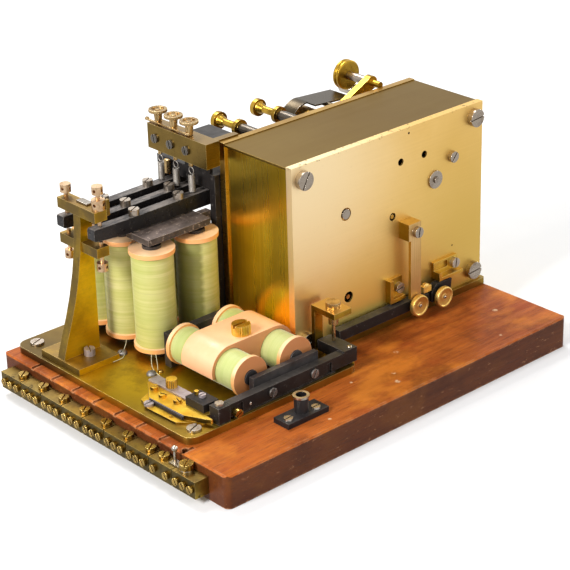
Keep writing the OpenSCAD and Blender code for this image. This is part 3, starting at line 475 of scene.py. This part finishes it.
steel = {
    "screw": steelWith("steelScrew"),
    "head": steelWith("steelHead", base=srgb(176, 164, 150), bloom=srgb(134, 118, 102), cloud=200, rough=0.28),
    "bright": steelWith("steelBright", base=srgb(186, 178, 166), bloom=srgb(140, 128, 112), spots=0.3),
    "dark": steelWith("steelDark", base=srgb(112, 106, 98), bloom=srgb(84, 76, 68), rough=0.24),
    "strip": steelWith("steelStrip", base=srgb(172, 162, 164), bloom=srgb(140, 128, 130), rough=0.5, spots=0.2),
    "wire": steelWith("steelWire", base=srgb(170, 164, 156), bloom=srgb(148, 140, 130), rough=0.4, spots=0.0),
    "dull": steelWith("steelDull", base=srgb(134, 130, 126), bloom=srgb(100, 94, 88), rough=0.4),
    "gun": steelWith("steelGun", base=srgb(96, 88, 78), bloom=srgb(58, 50, 42), rough=0.2),
    "blue": steelWith("steelBlue", base=srgb(70, 74, 92), bloom=srgb(50, 48, 56), rough=0.2),
    "shoe": steelWith("steelShoe", base=srgb(80, 70, 54), bloom=srgb(56, 46, 32), cloud=60, rough=0.2),
}


# black japanned iron, rubbed grey on its edges; its tops lighter, being rubbed and dusty and with a painted highlight
def ironMaterial(name, look):
    material, tree, shader = freshMaterial(name)
    coords = place(tree, "ShaderNodeTexCoord").outputs["Object"]
    cloud = stepped(tree, noise(tree, coords, look["cloud"], 6, 0.65), 0.35, 0.75)
    colour = blended(tree, cloud, look["base"], look["rubbed"])
    facing = place(tree, "ShaderNodeNewGeometry").outputs["Normal"]
    up = stepped(tree, heightOf(tree, facing), 0.6, 0.95, 0, look["top"])  # tops are lighter: rubbed and dusty, with a painted highlight
    drift = stepped(tree, noise(tree, coords, 1.0, 6, 0.7, stretch=look["dust"]), 0.4, 0.6, 0.15, 1.0)
    dust = calc(tree, "MULTIPLY", up, drift)
    colour = blended(tree, dust, colour, look["dusty"])
    specks = stepped(tree, noise(tree, coords, look["speckScale"], 4, 0.75), look["speckFrom"],
                     look["speckFrom"] + 0.1, 0, look["specks"])
    colour = blended(tree, specks, colour, look["speck"])
    edge = edgeMask(tree, look["edgeWidth"])
    chipped = calc(tree, "MULTIPLY", edge, stepped(tree, noise(tree, coords, 260, 5, 0.7), 0.35, 0.6))
    colour = blended(tree, calc(tree, "MULTIPLY", chipped, look["edge"]), colour, look["worn"])
    wire(tree, colour, shader.inputs["Base Color"])
    rough = stepped(tree, noise(tree, coords, 160, 5, 0.6), 0.3, 0.7, look["rough"], look["rough"] + 0.22)
    wire(tree, rough, shader.inputs["Roughness"])
    shader.inputs["Metallic"].default_value = look["metal"]
    shader.inputs["Specular IOR Level"].default_value = look["sheen"]
    bumped(tree, shader, noise(tree, coords, look["grain"], 6, 0.7), look["bump"], 0.12)
    return material


ironLook = {"base": srgb(24, 22, 23), "rubbed": srgb(42, 39, 39), "speck": srgb(128, 122, 118), "top": 0.0,
            "dusty": srgb(112, 106, 100), "worn": srgb(146, 140, 134), "cloud": 34, "specks": 0.25,
            "speckFrom": 0.6, "dust": (46, 46, 46),
            "speckScale": 900, "edgeWidth": 0.7, "edge": 0.7, "rough": 0.32, "metal": 0.0, "grain": 500, "bump": 0.2,
            "sheen": 0.22}


def ironWith(name, **changes):
    return ironMaterial(name, {**ironLook, **changes})


iron = {
    "lever": ironWith("ironLever", top=0.95, dusty=srgb(128, 120, 114), rough=0.22, specks=0.4, speckScale=420,
                      edge=0.85, dust=(70, 220, 220)),
    "relay": ironWith("ironRelay", base=srgb(25, 22, 22), rubbed=srgb(42, 38, 36), edge=0.55, top=0.2,
                      specks=0.45, speckScale=320),
    "armature": ironWith("ironArmature", base=srgb(66, 58, 54), rubbed=srgb(96, 86, 80), speck=srgb(220, 198, 182),
                         specks=0.6, speckScale=300, speckFrom=0.585, dust=(90, 160, 160), cloud=150,
                         metal=0.3, rough=0.4, grain=420, bump=0.15,
                         top=0.6, dusty=srgb(132, 116, 108), worn=srgb(214, 194, 180), edge=1.0),
    "core": ironWith("ironCore", base=srgb(52, 50, 52), rubbed=srgb(86, 82, 80), metal=0.6),
    "ebonite": ironWith("ebonite", base=srgb(26, 24, 25), rubbed=srgb(44, 40, 40), specks=0.1, edge=0.25),
}


# silk-covered wire wound in close turns about the given axis, greener where it is in shade
def silkMaterial(name, axis, look):
    material, tree, shader = freshMaterial(name)
    coords = place(tree, "ShaderNodeTexCoord").outputs["Object"]
    bands = place(tree, "ShaderNodeTexWave", {"Scale": look["turns"], "Distortion": 0.4, "Detail": 1.0},
                  wave_type="BANDS", bands_direction=axis)
    wire(tree, coords, bands.inputs["Vector"])
    stretch = (10, 10, 420) if axis == "Z" else (10, 420, 10)
    turns = noise(tree, coords, 1.0, 4, 0.7, stretch=stretch)
    cloud = noise(tree, coords, 22, 4, 0.6)
    colour = blended(tree, stepped(tree, turns, 0.3, 0.7), look["low"], look["high"])
    colour = blended(tree, stepped(tree, cloud, 0.35, 0.75, 0, 0.5), colour, look["green"])
    slack = stepped(tree, noise(tree, coords, 1.0, 3, 0.6, stretch=tuple(0.35 * v for v in stretch)), 0.6, 0.66, 0, 0.3)
    colour = blended(tree, slack, colour, look["gap"])
    colour = blended(tree, stepped(tree, bands.outputs["Fac"], 0.0, 0.5, 0.16, 0), colour, look["gap"])
    if axis == "Z":
        spots = [(x, y, z, r) for (x, y), r in look["shadows"] for z in range(40, 100, 6)]
        colour = blended(tree, calc(tree, "MULTIPLY", patches(tree, coords, spots, 0.5), 0.75), colour, look["dim"])
    facing = place(tree, "ShaderNodeNewGeometry").outputs["Normal"]
    colour = blended(tree, stepped(tree, heightOf(tree, facing, "X"), 0.15, 1.0, 0, look["away"]), colour,
                     look["shade"])
    wire(tree, colour, shader.inputs["Base Color"])
    shader.inputs["Roughness"].default_value = 0.5
    shader.inputs["Sheen Weight"].default_value = 0.25
    shader.inputs["Sheen Roughness"].default_value = 0.4
    bumped(tree, shader, bands.outputs["Fac"], 0.35, 0.1)
    return material


silkLook = {"turns": 620, "low": srgb(190, 188, 104), "high": srgb(214, 206, 142), "green": srgb(164, 176, 78),
            "shadows": (((-61, 30), 10), ((-57, 24), 7), ((-77, 51), 5), ((-72, 52), 7), ((-42, 52), 9),
                        ((-96, 76), 10)), "dim": srgb(104, 104, 34),
            "gap": srgb(140, 140, 58), "shade": srgb(146, 136, 44), "away": 0.8}
silk = {"upright": silkMaterial("silkUpright", "Z", silkLook),
        "relay": silkMaterial("silkRelay", "Y", {**silkLook, "low": srgb(184, 194, 118),
                                                 "high": srgb(200, 204, 138), "away": 0.3}),
        "lead": silkMaterial("silkLead", "Z", {**silkLook, "low": srgb(222, 216, 176), "high": srgb(240, 236, 206)})}


# salmon vulcanised fibre, mottled and scuffed, with darker sides and painted shade on the faces turned to the front
def fibreMaterial(name, look):
    material, tree, shader = freshMaterial(name)
    coords = place(tree, "ShaderNodeTexCoord").outputs["Object"]
    colour = blended(tree, stepped(tree, noise(tree, coords, 40, 5, 0.6), 0.3, 0.72), look["base"], look["shade"])
    scuffs = stepped(tree, noise(tree, coords, 1.0, 5, 0.7, stretch=(60, 300, 300)), 0.6, 0.74, 0, look["scuffs"])
    colour = blended(tree, scuffs, colour, look["scuff"])
    grime = stepped(tree, noise(tree, coords, 160, 5, 0.7), 0.6, 0.76, 0, look["grimes"])
    colour = blended(tree, grime, colour, look["grime"])
    facing = place(tree, "ShaderNodeNewGeometry").outputs["Normal"]
    # sides darker and warmer than the tops
    rim = stepped(tree, heightOf(tree, facing), 0.6, 0.2, 0, look["rims"])
    colour = blended(tree, rim, colour, look["rim"])
    # painted shade: faces turned to the front, near the piece's front, are darker
    near = stepped(tree, heightOf(tree, coords, "Y"), look["frontAt"] * mm, (look["frontAt"] - 2) * mm, 0,
                   look["fronts"])
    near = calc(tree, "MULTIPLY", near, stepped(tree, heightOf(tree, facing, "Y"), -0.5, -0.9))
    colour = blended(tree, near, colour, look["front"])
    edge = edgeMask(tree, 0.8)
    colour = blended(tree, calc(tree, "MULTIPLY", edge, 0.5), colour, look["edge"])
    wire(tree, colour, shader.inputs["Base Color"])
    rough = stepped(tree, noise(tree, coords, 90, 4, 0.6), 0.3, 0.7, 0.32, 0.5)
    wire(tree, rough, shader.inputs["Roughness"])
    bumped(tree, shader, noise(tree, coords, 700, 4, 0.7), 0.1, 0.06)
    return material


fibreLook = {"base": srgb(255, 214, 166), "shade": srgb(252, 190, 136), "scuff": srgb(252, 208, 172),
             "grime": srgb(184, 118, 74), "edge": srgb(252, 206, 160), "scuffs": 0.4, "grimes": 0.25,
             "rim": srgb(240, 164, 90), "rims": 0.8, "front": srgb(192, 116, 66), "fronts": 0.7,
             "frontAt": -50}
fibre = fibreMaterial("fibre", fibreLook)
saddleFibre = fibreMaterial("fibreSaddle", {**fibreLook, "base": srgb(252, 198, 154), "shade": srgb(246, 184, 136),
                                            "rims": 0.3, "rim": srgb(240, 160, 106), "front": srgb(214, 136, 82),
                                            "frontAt": -36, "scuffs": 0.25, "grimes": 0.12})


# french-polished mahogany with open pores, rubbed corners and old knocks
def woodMaterial(name, look):
    material, tree, shader = freshMaterial(name)
    coords = place(tree, "ShaderNodeTexCoord").outputs["Object"]
    sway = noise(tree, coords, 1.0, 3, 0.5, stretch=(4, 14, 14))
    figure = noise(tree, coords, 1.0, 8, 0.72, stretch=(16, 190, 190), turn=(0, 0, look["slant"]))
    figure = calc(tree, "ADD", figure, calc(tree, "MULTIPLY", sway, 0.5))
    colour = blended(tree, stepped(tree, figure, 0.5, 1.0, 0, 0.8), look["light"], look["mid"])
    flame = stepped(tree, noise(tree, coords, 1.0, 5, 0.6, stretch=(26, 60, 60), turn=(0, 0, look["slant"])), 0.5, 0.7)
    colour = blended(tree, calc(tree, "MULTIPLY", flame, 0.55), colour, look["red"])
    pores = stepped(tree, noise(tree, coords, 1.0, 4, 0.7, stretch=(70, 1400, 1400), turn=(0, 0, look["slant"])),
                    0.54, 0.66)
    colour = blended(tree, calc(tree, "MULTIPLY", pores, 0.6), colour, look["pore"])
    glow = stepped(tree, noise(tree, coords, 1.0, 4, 0.6, stretch=(18, 34, 34), turn=(0, 0, look["slant"])), 0.5, 0.68,
                   0, 0.7)
    colour = blended(tree, glow, colour, look["glow"])
    stain = stepped(tree, noise(tree, coords, 26, 6, 0.66), 0.5, 0.7, 0, 0.6)
    colour = blended(tree, stain, colour, look["stain"])
    facing = place(tree, "ShaderNodeNewGeometry").outputs["Normal"]
    side = stepped(tree, heightOf(tree, facing), 0.5, 0.2, 0, look["sideShade"])  # painted shade: the ends and edges are darker
    colour = blended(tree, side, colour, look["side"])
    scratched = stepped(tree, noise(tree, coords, 1.0, 5, 0.75, stretch=(160, 420, 420)), 0.6, 0.7, 0, 0.6)
    colour = blended(tree, calc(tree, "MULTIPLY", side, scratched), colour, look["rubbed"])
    edge = edgeMask(tree, 2.2, 0.01, 0.2)
    knocks = stepped(tree, noise(tree, coords, 150, 5, 0.7), 0.4, 0.62)
    colour = blended(tree, calc(tree, "MULTIPLY", edge, knocks), colour, look["rubbed"])
    marks = calc(tree, "MULTIPLY", patches(tree, coords, look["marks"]),
                 stepped(tree, noise(tree, coords, 420, 4, 0.7), 0.4, 0.55))
    colour = blended(tree, marks, colour, look["mark"])
    wire(tree, colour, shader.inputs["Base Color"])
    rough = stepped(tree, figure, 0.5, 0.95, 0.24, 0.42)
    wire(tree, rough, shader.inputs["Roughness"])
    shader.inputs["Specular IOR Level"].default_value = 0.1
    shader.inputs["Coat Weight"].default_value = 0.03
    shader.inputs["Coat Roughness"].default_value = 0.16
    bumped(tree, shader, calc(tree, "MULTIPLY", pores, -1.0), 0.3, 0.1)
    return material


woodLook = {"light": srgb(186, 100, 40), "mid": srgb(118, 50, 18), "red": srgb(152, 66, 30), "pore": srgb(70, 30, 12),
            "glow": srgb(206, 122, 42), "stain": srgb(96, 44, 16), "side": srgb(56, 31, 19), "sideShade": 0.8,
            "rubbed": srgb(200, 142, 100),
            "mark": srgb(214, 178, 140), "slant": 0.12,
            "marks": ((31.7, -69.5, 22, 2.2), (10, -89, 22, 1.8), (4, -98.6, 22, 2.6), (123, -73, 22, 2.4),
                      (-60, -104, 22, 1.6), (98, -101, 22, 1.8), (-18, -79, 22, 1.4))}
mahogany = woodMaterial("mahogany", woodLook)
print("materials made")


# CAD nodes that keep their shape, with softened edges

tensionHeads = {"name": "tensionBarScrews", "material": steel["dark"], "slot": "steel",
                "boxes": [((-44, 40, 146), (-42.03, 85, 157))]}
postHeads = {"name": "stopPostScrews", "material": steel["strip"], "slot": "steel",
             "boxes": [((-126, 50, 31.05), (-118, 58.9, 37)), ((-126, 66.5, 31.05), (-118, 75, 37))]}
guideBrass = {"name": "guidePostKnobs", "material": brass["knob"], "slot": "bright_brass",
              "boxes": [((0, 49.9, 140), (50, 74.1, 160))]}
contactBlack = {"name": "relayContactBlocks", "material": iron["ebonite"], "slot": "ebonite",
                "boxes": [((-121.1, -58.1, 31.65), (-108.9, -40.9, 37.05)),
                          ((-116.65, -58.1, 26.9), (-108.9, -40.9, 31.7)),
                          ((-116.65, -38.1, 26.9), (-111.3, -5.9, 31.65))]}
contactSteel = {"name": "relayContactStrip", "material": steel["strip"], "slot": "steel",
                "boxes": [((-118.6, -38.1, 31.68), (-110.7, -1.4, 33.02)),
                          ((-137.5, -24.8, 28.55), (-130.9, -18.2, 30.6)),
                          ((-116.4, -51.3, 37.03), (-111.8, -46.7, 39.2))]}
socketRing = {"name": "plugSocketRing", "material": steel["bright"], "slot": "steel",
              "boxes": [((-75, -94.5, 35.63), (-64, -83.5, 37.1)), ((-85.4, -94.4, 25.63), (-79.6, -88.6, 27.2)),
                        ((-63.5, -95.3, 25.63), (-57.7, -89.5, 27.2))]}
angleScrews = {"name": "caseAngleScrews", "material": steel["head"], "slot": "steel",
               "boxes": [((61.5, -41.2, 43.5), (68.9, -38.03, 50.9)), ((114.3, -41.7, 44.9), (121.7, -38.53, 52.3))]}
springScrew = {"name": "releaseSpringScrew", "material": steel["screw"], "slot": "steel",
               "boxes": [((71, -48.7, 82.6), (79, -45.53, 90.4))]}
springBlock = {"name": "releaseSpringBlock", "material": brass["angle"], "slot": "bright_brass",
               "boxes": [((67.9, -45.45, 80.9), (79.6, -35.9, 93.1))]}
rockerScrew = {"name": "relayLeverScrew", "material": brass["screwBrass"], "slot": "bright_brass",
               "boxes": [((-108.6, -73.8, 28.4), (-102.4, -69.03, 34.6))]}
armatureScrews = {"name": "relayArmatureScrews", "material": steel["dull"], "slot": "steel",
                  "boxes": [((-80, -71, 29), (-35, -63.15, 37))]}
framePin = {"name": "relayFramePin", "material": steel["head"], "slot": "steel",
            "boxes": [((-118, -69, 38.03), (-112, -63, 40.2))]}
armShaft = {"name": "pressureArmShaft", "material": steel["screw"], "slot": "steel",
            "boxes": [((116.9, 46.05, 154.2), (123.1, 71.7, 160.6))]}
topSheet = {"name": "caseTopSheet", "material": brass["topCover"], "slot": "brass",
            "boxes": [((-26, -36.5, 154.25), (149, 33, 156))]}

plain = {  # node: material, edge softening in mm, its segments, parts with another finish
    "baseboard": (mahogany, 0.9, 3, ()), "base_plate": (brass["basePlate"], 0.4, 2, ()),
    "base_plate_screws": (steel["head"], 0.25, 2, ()), "terminal_blocks": (brass["terminal"], 0.4, 2, ()),
    "terminal_clamp_screws": (brass["screwBrass"], 0.3, 2, ()),
    "terminal_front_screws": (brass["screwBrass"], 0.5, 3, ()),
    "terminal_link": (steel["bright"], 0.2, 2, ()), "near_plate": (brass["nearPlate"], 0.3, 2, ()),
    "far_plate": (brass["farPlate"], 0.35, 2, ()), "case_covers": (brass["cover"], 0.2, 2, (topSheet,)),
    "case_pillars": (brass["works"], 0.3, 2, ()), "case_screws": (steel["screw"], 0.7, 3, ()),
    "guide_posts": (steel["gun"], 0.4, 2, (guideBrass,)), "tape_shoe": (steel["shoe"], 0.2, 2, ()),
    "tape_drum": (brass["works"], 0.4, 2, ()), "lever_frame": (iron["relay"], 0.5, 2, ()),
    "lever_pivot_rod": (steel["bright"], 0.2, 2, ()), "tension_bar": (brass["block"], 0.5, 2, (tensionHeads,)),
    "stop_post": (brass["post"], 0.5, 2, (postHeads,)), "stop_screws": (brass["capstan"], 0.3, 2, ()),
    "magnet_cores": (iron["core"], 0.4, 2, ()), "coil_flanges": (fibre, 0.5, 3, ()),
    "relay_saddle": (saddleFibre, 0.7, 3, ()), "relay_clamp_screw": (brass["nut"], 0.3, 2, ()),
    "relay_frame": (iron["relay"], 0.3, 2, (framePin,)),
    "relay_contacts": (brass["contact"], 0.2, 2, (contactBlack, contactSteel)),
    "relay_bracket": (brass["bracket"], 0.3, 2, ()), "relay_stop_screw": (brass["turned"], 0.25, 2, ()),
    "case_angles": (brass["angle"], 0.3, 2, (angleScrews,)),
    "release_spring": (brass["spring"], 0.3, 2, (springScrew, springBlock)),
    "plug_socket": (iron["ebonite"], 0.3, 2, (socketRing,)),
    "lever_a": (iron["lever"], 0.6, 3, ()), "lever_b": (iron["lever"], 0.6, 3, ()),
    "lever_c": (iron["lever"], 0.6, 3, ()), "armature_a": (iron["armature"], 0.4, 2, ()),
    "armature_b": (iron["armature"], 0.4, 2, ()), "armature_c": (iron["armature"], 0.4, 2, ()),
    "lever_fittings_a": (steel["head"], 0.3, 2, ()), "lever_fittings_b": (steel["head"], 0.3, 2, ()),
    "lever_fittings_c": (steel["head"], 0.3, 2, ()), "tension_screw_a": (brass["turned"], 0.2, 2, ()),
    "tension_screw_b": (brass["turned"], 0.2, 2, ()), "tension_screw_c": (brass["turned"], 0.2, 2, ()),
    "relay_lever": (iron["relay"], 0.5, 2, (rockerScrew,)),
    "relay_armature": (iron["core"], 0.3, 2, (armatureScrews,)),
    "release_lever": (iron["relay"], 0.5, 2, ()), "hand_lever": (iron["relay"], 0.5, 2, ()),
    "winding_arbor": (steel["screw"], 0.2, 2, ()), "feed_roller": (steel["bright"], 0.1, 1, ()),
    "pressure_arm": (brass["roller"], 0.3, 2, (armShaft,)), "pressure_wheel": (brass["roller"], 0.3, 2, ()),
}
for node, (material, width, segments, parts) in plain.items():
    softened(node, material, width, segments, parts)
for node in ("spring_barrel", "centre_wheel", "third_wheel", "governor"):
    frame["nodes"][node].data.materials.clear()
    frame["nodes"][node].data.materials.append(brass["works"])
frame["nodes"]["mainspring"].data.materials.clear()
frame["nodes"]["mainspring"].data.materials.append(steel["blue"])
print("softened pieces made:", len(plain))


# windings: a turned shell with shallow steps where the wire layers end

winding = {"x": (-83, -47), "y": (34, 64, 94), "foot": 35.0, "top": 98.0, "radius": 13.8, "bore": 4.8,
           "relayX": (-82, -44.5), "relayZ": 41.5, "relayNear": -54.0, "relayFar": 6.0, "relayRadius": 12.5,
           "relayBore": 5.2}
swell = ((0, -0.35), (0.02, 0), (0.3, -0.1), (0.33, 0.04), (0.66, -0.02), (0.7, 0), (0.98, 0), (1, -0.35))
length = winding["top"] - winding["foot"]
outline = [(winding["bore"], 0)] + [(winding["radius"] - 0.05 + d, f * length) for f, d in swell]
outline += [(winding["bore"], length), (winding["bore"], 0)]
for i, (x, y) in enumerate((x, y) for y in winding["y"] for x in winding["x"]):
    coil = smoothed(turned(outline, (x, y, winding["foot"]), steps=56))
    finished(coil, "coilWinding" + str(i + 1), silk["upright"], "instrument", ["coil_windings"])
length = winding["relayFar"] - winding["relayNear"]
outline = [(winding["relayBore"], 0)] + [(winding["relayRadius"] - 0.1 + min(d, 0), f * length) for f, d in swell]
outline += [(winding["relayBore"], length), (winding["relayBore"], 0)]
for i, x in enumerate(winding["relayX"]):
    coil = smoothed(turned(outline, (x, winding["relayNear"], winding["relayZ"]), "Y", 56))
    finished(coil, "relayWinding" + str(i + 1), silk["relay"], "instrument", ["coil_windings"])
print("windings made")


# close-coiled springs between the levers and the thumb screws, with an eye at each end

spring = {"x": -37.5, "y": (46.9, 62.7, 78.5), "foot": 121.4, "coilTop": 133.6, "top": 139.0, "radius": 2.0,
          "wire": 0.3, "turns": 18, "steps": 14}
for i, y in enumerate(spring["y"]):
    path = []
    count = spring["turns"] * spring["steps"]
    for k in range(count + 1):
        turn = 2 * math.pi * k / spring["steps"]
        height = spring["foot"] + 0.3 + (spring["coilTop"] - spring["foot"] - 0.3) * k / count
        path.append((spring["x"] + spring["radius"] * math.cos(turn), y + spring["radius"] * math.sin(turn), height))
    eyeLow = spring["coilTop"] + 0.2
    eyeRadius = (spring["top"] - eyeLow) / 2 - 0.3
    for k in range(13):
        turn = math.radians(-80 + 340 * k / 12)
        path.append((spring["x"], y + eyeRadius * math.cos(turn),
                     eyeLow + eyeRadius + 0.2 + eyeRadius * math.sin(turn)))
    coil = smoothed(wireRun(path, spring["wire"]), 60)
    finished(coil, "tensionSpring" + "ABC"[i], steel["wire"], "instrument", ["tension_springs"])
print("springs made")


# small things that the photograph shows and the solids leave out

extras = {
    "ledge": {"low": (-40.4, 44.5, 160.9), "high": (-38.9, 89.5, 162.2)},
    "armBlock": {"low": (-109.4, 43.2, 127.0), "high": (-106.4, 49.8, 138.0)},
    "armPlate": {"low": (-115.4, 55.5, 132.0), "high": (-110.2, 66.5, 133.4)},
    "panHeads": ((-101.5, 47.5, 27), (-106.3, 11.2, 27)),
    "packing": {"low": (-132.2, -51.0, 28.55), "high": (-131.3, -18.9, 30.7)},
    "frameLug": {"low": (-33.6, 76.4, 123.8), "high": (-30.2, 81.4, 134.0)},
    "frameToe": {"low": (-38.9, 37.6, 101.5), "high": (-30.3, 42.8, 109.4)},
    "barLug": {"low": (84.6, -43.2, 37.0), "high": (92.2, -38.6, 41.6)},
}


def chamferedBlock(low, high, width=0.4):
    return smoothed(bevelled(cube(low, high), width, 2))


def panHead(at, radius, height, turn, axis="Z"):
    crown = [(0.01, height), (radius * 0.45, height - 0.05), (radius * 0.8, height * 0.72), (radius, height * 0.3),
             (radius, 0), (0.01, 0)]
    head = turned(crown[::-1], (0, 0, 0), steps=28)
    cutter = cube((-radius - 1, -0.45, height - 0.9), (radius + 1, 0.45, height + 1))
    pick(head)
    cut = head.modifiers.new("slot", "BOOLEAN")
    cut.operation = "DIFFERENCE"
    cut.object = cutter
    cut.solver = "EXACT"
    bpy.ops.object.modifier_apply(modifier=cut.name)
    bpy.data.objects.remove(cutter)
    head.rotation_euler = (math.pi / 2, turn, 0) if axis == "-Y" else (0, 0, turn)
    head.location = Vector(at) * mm
    return smoothed(settle(head))


ledge = chamferedBlock(extras["ledge"]["low"], extras["ledge"]["high"], 0.3)
nubs = [panHead((-39.6, y, 162.0), 1.5, 1.4, 0.4) for y in (46.5, 87.5)]
finished(joined([ledge] + nubs), "tensionBarStrip", brass["turned"], "instrument")
block = chamferedBlock(extras["armBlock"]["low"], extras["armBlock"]["high"])
finished(block, "stopArmBlock", brass["block"], "instrument")
finished(panHead((-107.9, 46.8, 138.0), 1.4, 1.2, 0.9), "stopArmBlockScrew", steel["dark"], "instrument")
plate = chamferedBlock(extras["armPlate"]["low"], extras["armPlate"]["high"], 0.3)
finished(plate, "stopArmPlate", steel["bright"], "instrument")
for i, at in enumerate(extras["panHeads"]):
    finished(panHead(at, 3.3, 2.4, 0.5 + i), "leadScrew" + str(i + 1), steel["dull"], "instrument")
toe = chamferedBlock(extras["frameToe"]["low"], extras["frameToe"]["high"], 0.5)
finished(toe, "leverFrameToe", iron["armature"], "instrument")
# near-black ebonite strip filling the gap between the two contact strips; it also stands for the painted shade in that
# gap
packing = chamferedBlock(extras["packing"]["low"], extras["packing"]["high"], 0.1)
finished(packing, "relayContactGapStrip", iron["ebonite"], "instrument")
lug = chamferedBlock(extras["frameLug"]["low"], extras["frameLug"]["high"], 1.2)
finished(lug, "leverFrameLug", brass["turned"], "instrument")
finished(panHead((-92.9, -69.0, 32.0), 0.9, 0.5, 0.2, "-Y"), "relayBarStud", steel["bright"], "relay_rocker")
lug = chamferedBlock(extras["barLug"]["low"], extras["barLug"]["high"], 0.4)
finished(joined([lug, panHead((88.6, -41, 41.6), 2.2, 1.6, 0.3)]), "releaseLeverLug", brass["disc"], "release")
finished(panHead((-6.8, -66.4, 38.4), 1.6, 1.2, 1.1), "relayLeverPin", steel["bright"], "relay_rocker")
finished(panHead((-100.2, 9.6, 27), 1.8, 1.6, 0.2), "plateNut", brass["screwBrass"], "instrument")

# the two thumb discs, turned with a raised rim and a dished face round a steel pin
thumbDisc = {
    "discs": (("releaseDisc", 75.2, 33.5, 0.0, "release", "release_disc"),
              ("handDisc", 99.3, 31.6, -0.5, "hand", "hand_disc")),
    "profile": ((0.01, 0), (2, 0), (2, 8.35), (3, 8.35), (3, 10.2), (6.7, 10.2), (7.2, 10.5), (7.5, 11.1),
                (7.5, 13.1), (7.3, 13.7), (6.7, 14), (6.1, 13.9), (5.7, 13.4), (4.2, 13.1), (2.5, 13.0), (2.3, 13.35),
                (1.6, 13.35), (1.5, 13.1), (0.01, 13.1)),
    "pin": ((0.01, 12.8), (1.1, 12.8), (1.1, 13.6), (0.8, 13.95), (0.01, 13.95)),
}
for name, x, z, shorter, body, node in thumbDisc["discs"]:
    profile = [(r, h + (shorter if h > 9 else 0)) for r, h in thumbDisc["profile"]]
    finished(smoothed(turned(profile, (x, -36, z), "-Y", 48), 30), name, brass["disc"], body, [node])
    pin = [(r, h + shorter) for r, h in thumbDisc["pin"]]
    finished(smoothed(turned(pin, (x, -36, z), "-Y", 20), 30), name + "Pin", steel["screw"], body, [node])

# thin leads from the coils' feet to the two screws and the nut on the plate
leads = {
    "radius": 0.22,
    "runs": (((-92.5, 54.5, 32.2), (-93.6, 53.2, 31), (-95.6, 51.4, 29.4), (-98.4, 50, 28.6), (-102, 44.6, 27.7),
              (-105.2, 41.2, 27.4), (-110, 41.6, 27.4), (-113.6, 41.4, 27.4)),
             ((-95.6, 24.4, 32.2), (-97.8, 22, 30.6), (-100.2, 18.6, 29.4), (-103.2, 14.2, 28.6),
              (-104.2, 8.2, 27.7), (-104.6, 3.4, 27.4), (-106.8, -2.6, 27.4)),
             ((-93.4, 22.6, 32.2), (-95.2, 19.6, 30), (-98.4, 14.6, 28.4), (-100.4, 12.2, 27.7))),
}
for i, run in enumerate(leads["runs"]):
    lead = wireRun(run, leads["radius"])
    lead = applied(lead, "SUBSURF", levels=1, render_levels=1)
    finished(smoothed(lead, 60), "coilLead" + str(i + 1), silk["lead"], "instrument")
print("small fittings made")


# floor, world, lamps and camera

def seesBackground(tree):
    path = place(tree, "ShaderNodeLightPath")
    some = calc(tree, "MAXIMUM", path.outputs["Is Camera Ray"], path.outputs["Is Glossy Ray"])
    return calc(tree, "MAXIMUM", some, path.outputs["Is Transmission Ray"])


world = bpy.data.worlds.new("studio")
bpy.context.scene.world = world
world.use_nodes = True
sky = world.node_tree
background = [n for n in sky.nodes if n.type == "BACKGROUND"][0]
background.inputs["Color"].default_value = (1, 1, 1, 1)
strength = place(sky, "ShaderNodeMapRange", {"To Min": 0.28, "To Max": 1.0})
wire(sky, seesBackground(sky), strength.inputs["Value"])
wire(sky, strength.outputs["Result"], background.inputs["Strength"])

ground = {"size": 1.9, "height": -0.0002, "grey": 0.9, "rough": 0.9, "mirrored": 0.9}
bpy.ops.mesh.primitive_plane_add(size=ground["size"], location=(0, 0, ground["height"]))
floor = settle(bpy.context.active_object)
floor.name = "studioFloor"
floorMaterial, tree, shader = freshMaterial("studioFloor")
shader.inputs["Base Color"].default_value = (ground["grey"], ground["grey"], ground["grey"], 1)
shader.inputs["Roughness"].default_value = ground["rough"]
glow = place(tree, "ShaderNodeEmission", {"Color": (1, 1, 1, 1), "Strength": ground["mirrored"]})
mixed = place(tree, "ShaderNodeMixShader")
path = place(tree, "ShaderNodeLightPath")
wire(tree, path.outputs["Is Glossy Ray"], mixed.inputs[0])
wire(tree, shader.outputs[0], mixed.inputs[1])
wire(tree, glow.outputs[0], mixed.inputs[2])
output = [n for n in tree.nodes if n.type == "OUTPUT_MATERIAL"][0]
wire(tree, mixed.outputs[0], output.inputs["Surface"])
floor.data.materials.append(floorMaterial)

lamps = {
    "front": {"at": (0.1, -1.7, 1.2), "size": 1.2, "power": 9},
    "left": {"at": (-1.7, -0.1, 1.2), "size": 0.55, "power": 42},
    "back": {"at": (0.3, 1.3, 1.9), "size": 0.9, "power": 34},
    "right": {"at": (1.7, -0.35, 0.62), "size": 0.3, "power": 9},
}
for name, lamp in lamps.items():
    light = bpy.data.lights.new(name, "AREA")
    light.size = lamp["size"]
    light.energy = lamp["power"]
    holder = bpy.data.objects.new(name + "Lamp", light)
    bpy.context.scene.collection.objects.link(holder)
    holder.location = lamp["at"]
    aim = Vector((0, 0, 0.06)) - Vector(lamp["at"])
    holder.rotation_euler = aim.to_track_quat("-Z", "Y").to_euler()

shot = {"at": (-0.7517, -0.8500, 0.5896), "turn": (64.878563, 1.490456, -42.134539), "sensor": 36,
        "lens": 120.657, "nearest": 0.01}  # metres, degrees, millimetres
camera = bpy.data.objects.new("photoCamera", bpy.data.cameras.new("photoCamera"))
bpy.context.scene.collection.objects.link(camera)
camera.location = shot["at"]
camera.rotation_euler = [math.radians(a) for a in shot["turn"]]
camera.data.sensor_width = shot["sensor"]
camera.data.lens = shot["lens"]
camera.data.clip_start = shot["nearest"]
bpy.context.scene.camera = camera
bpy.context.scene.view_settings.view_transform = "Standard"
print("studio ready")
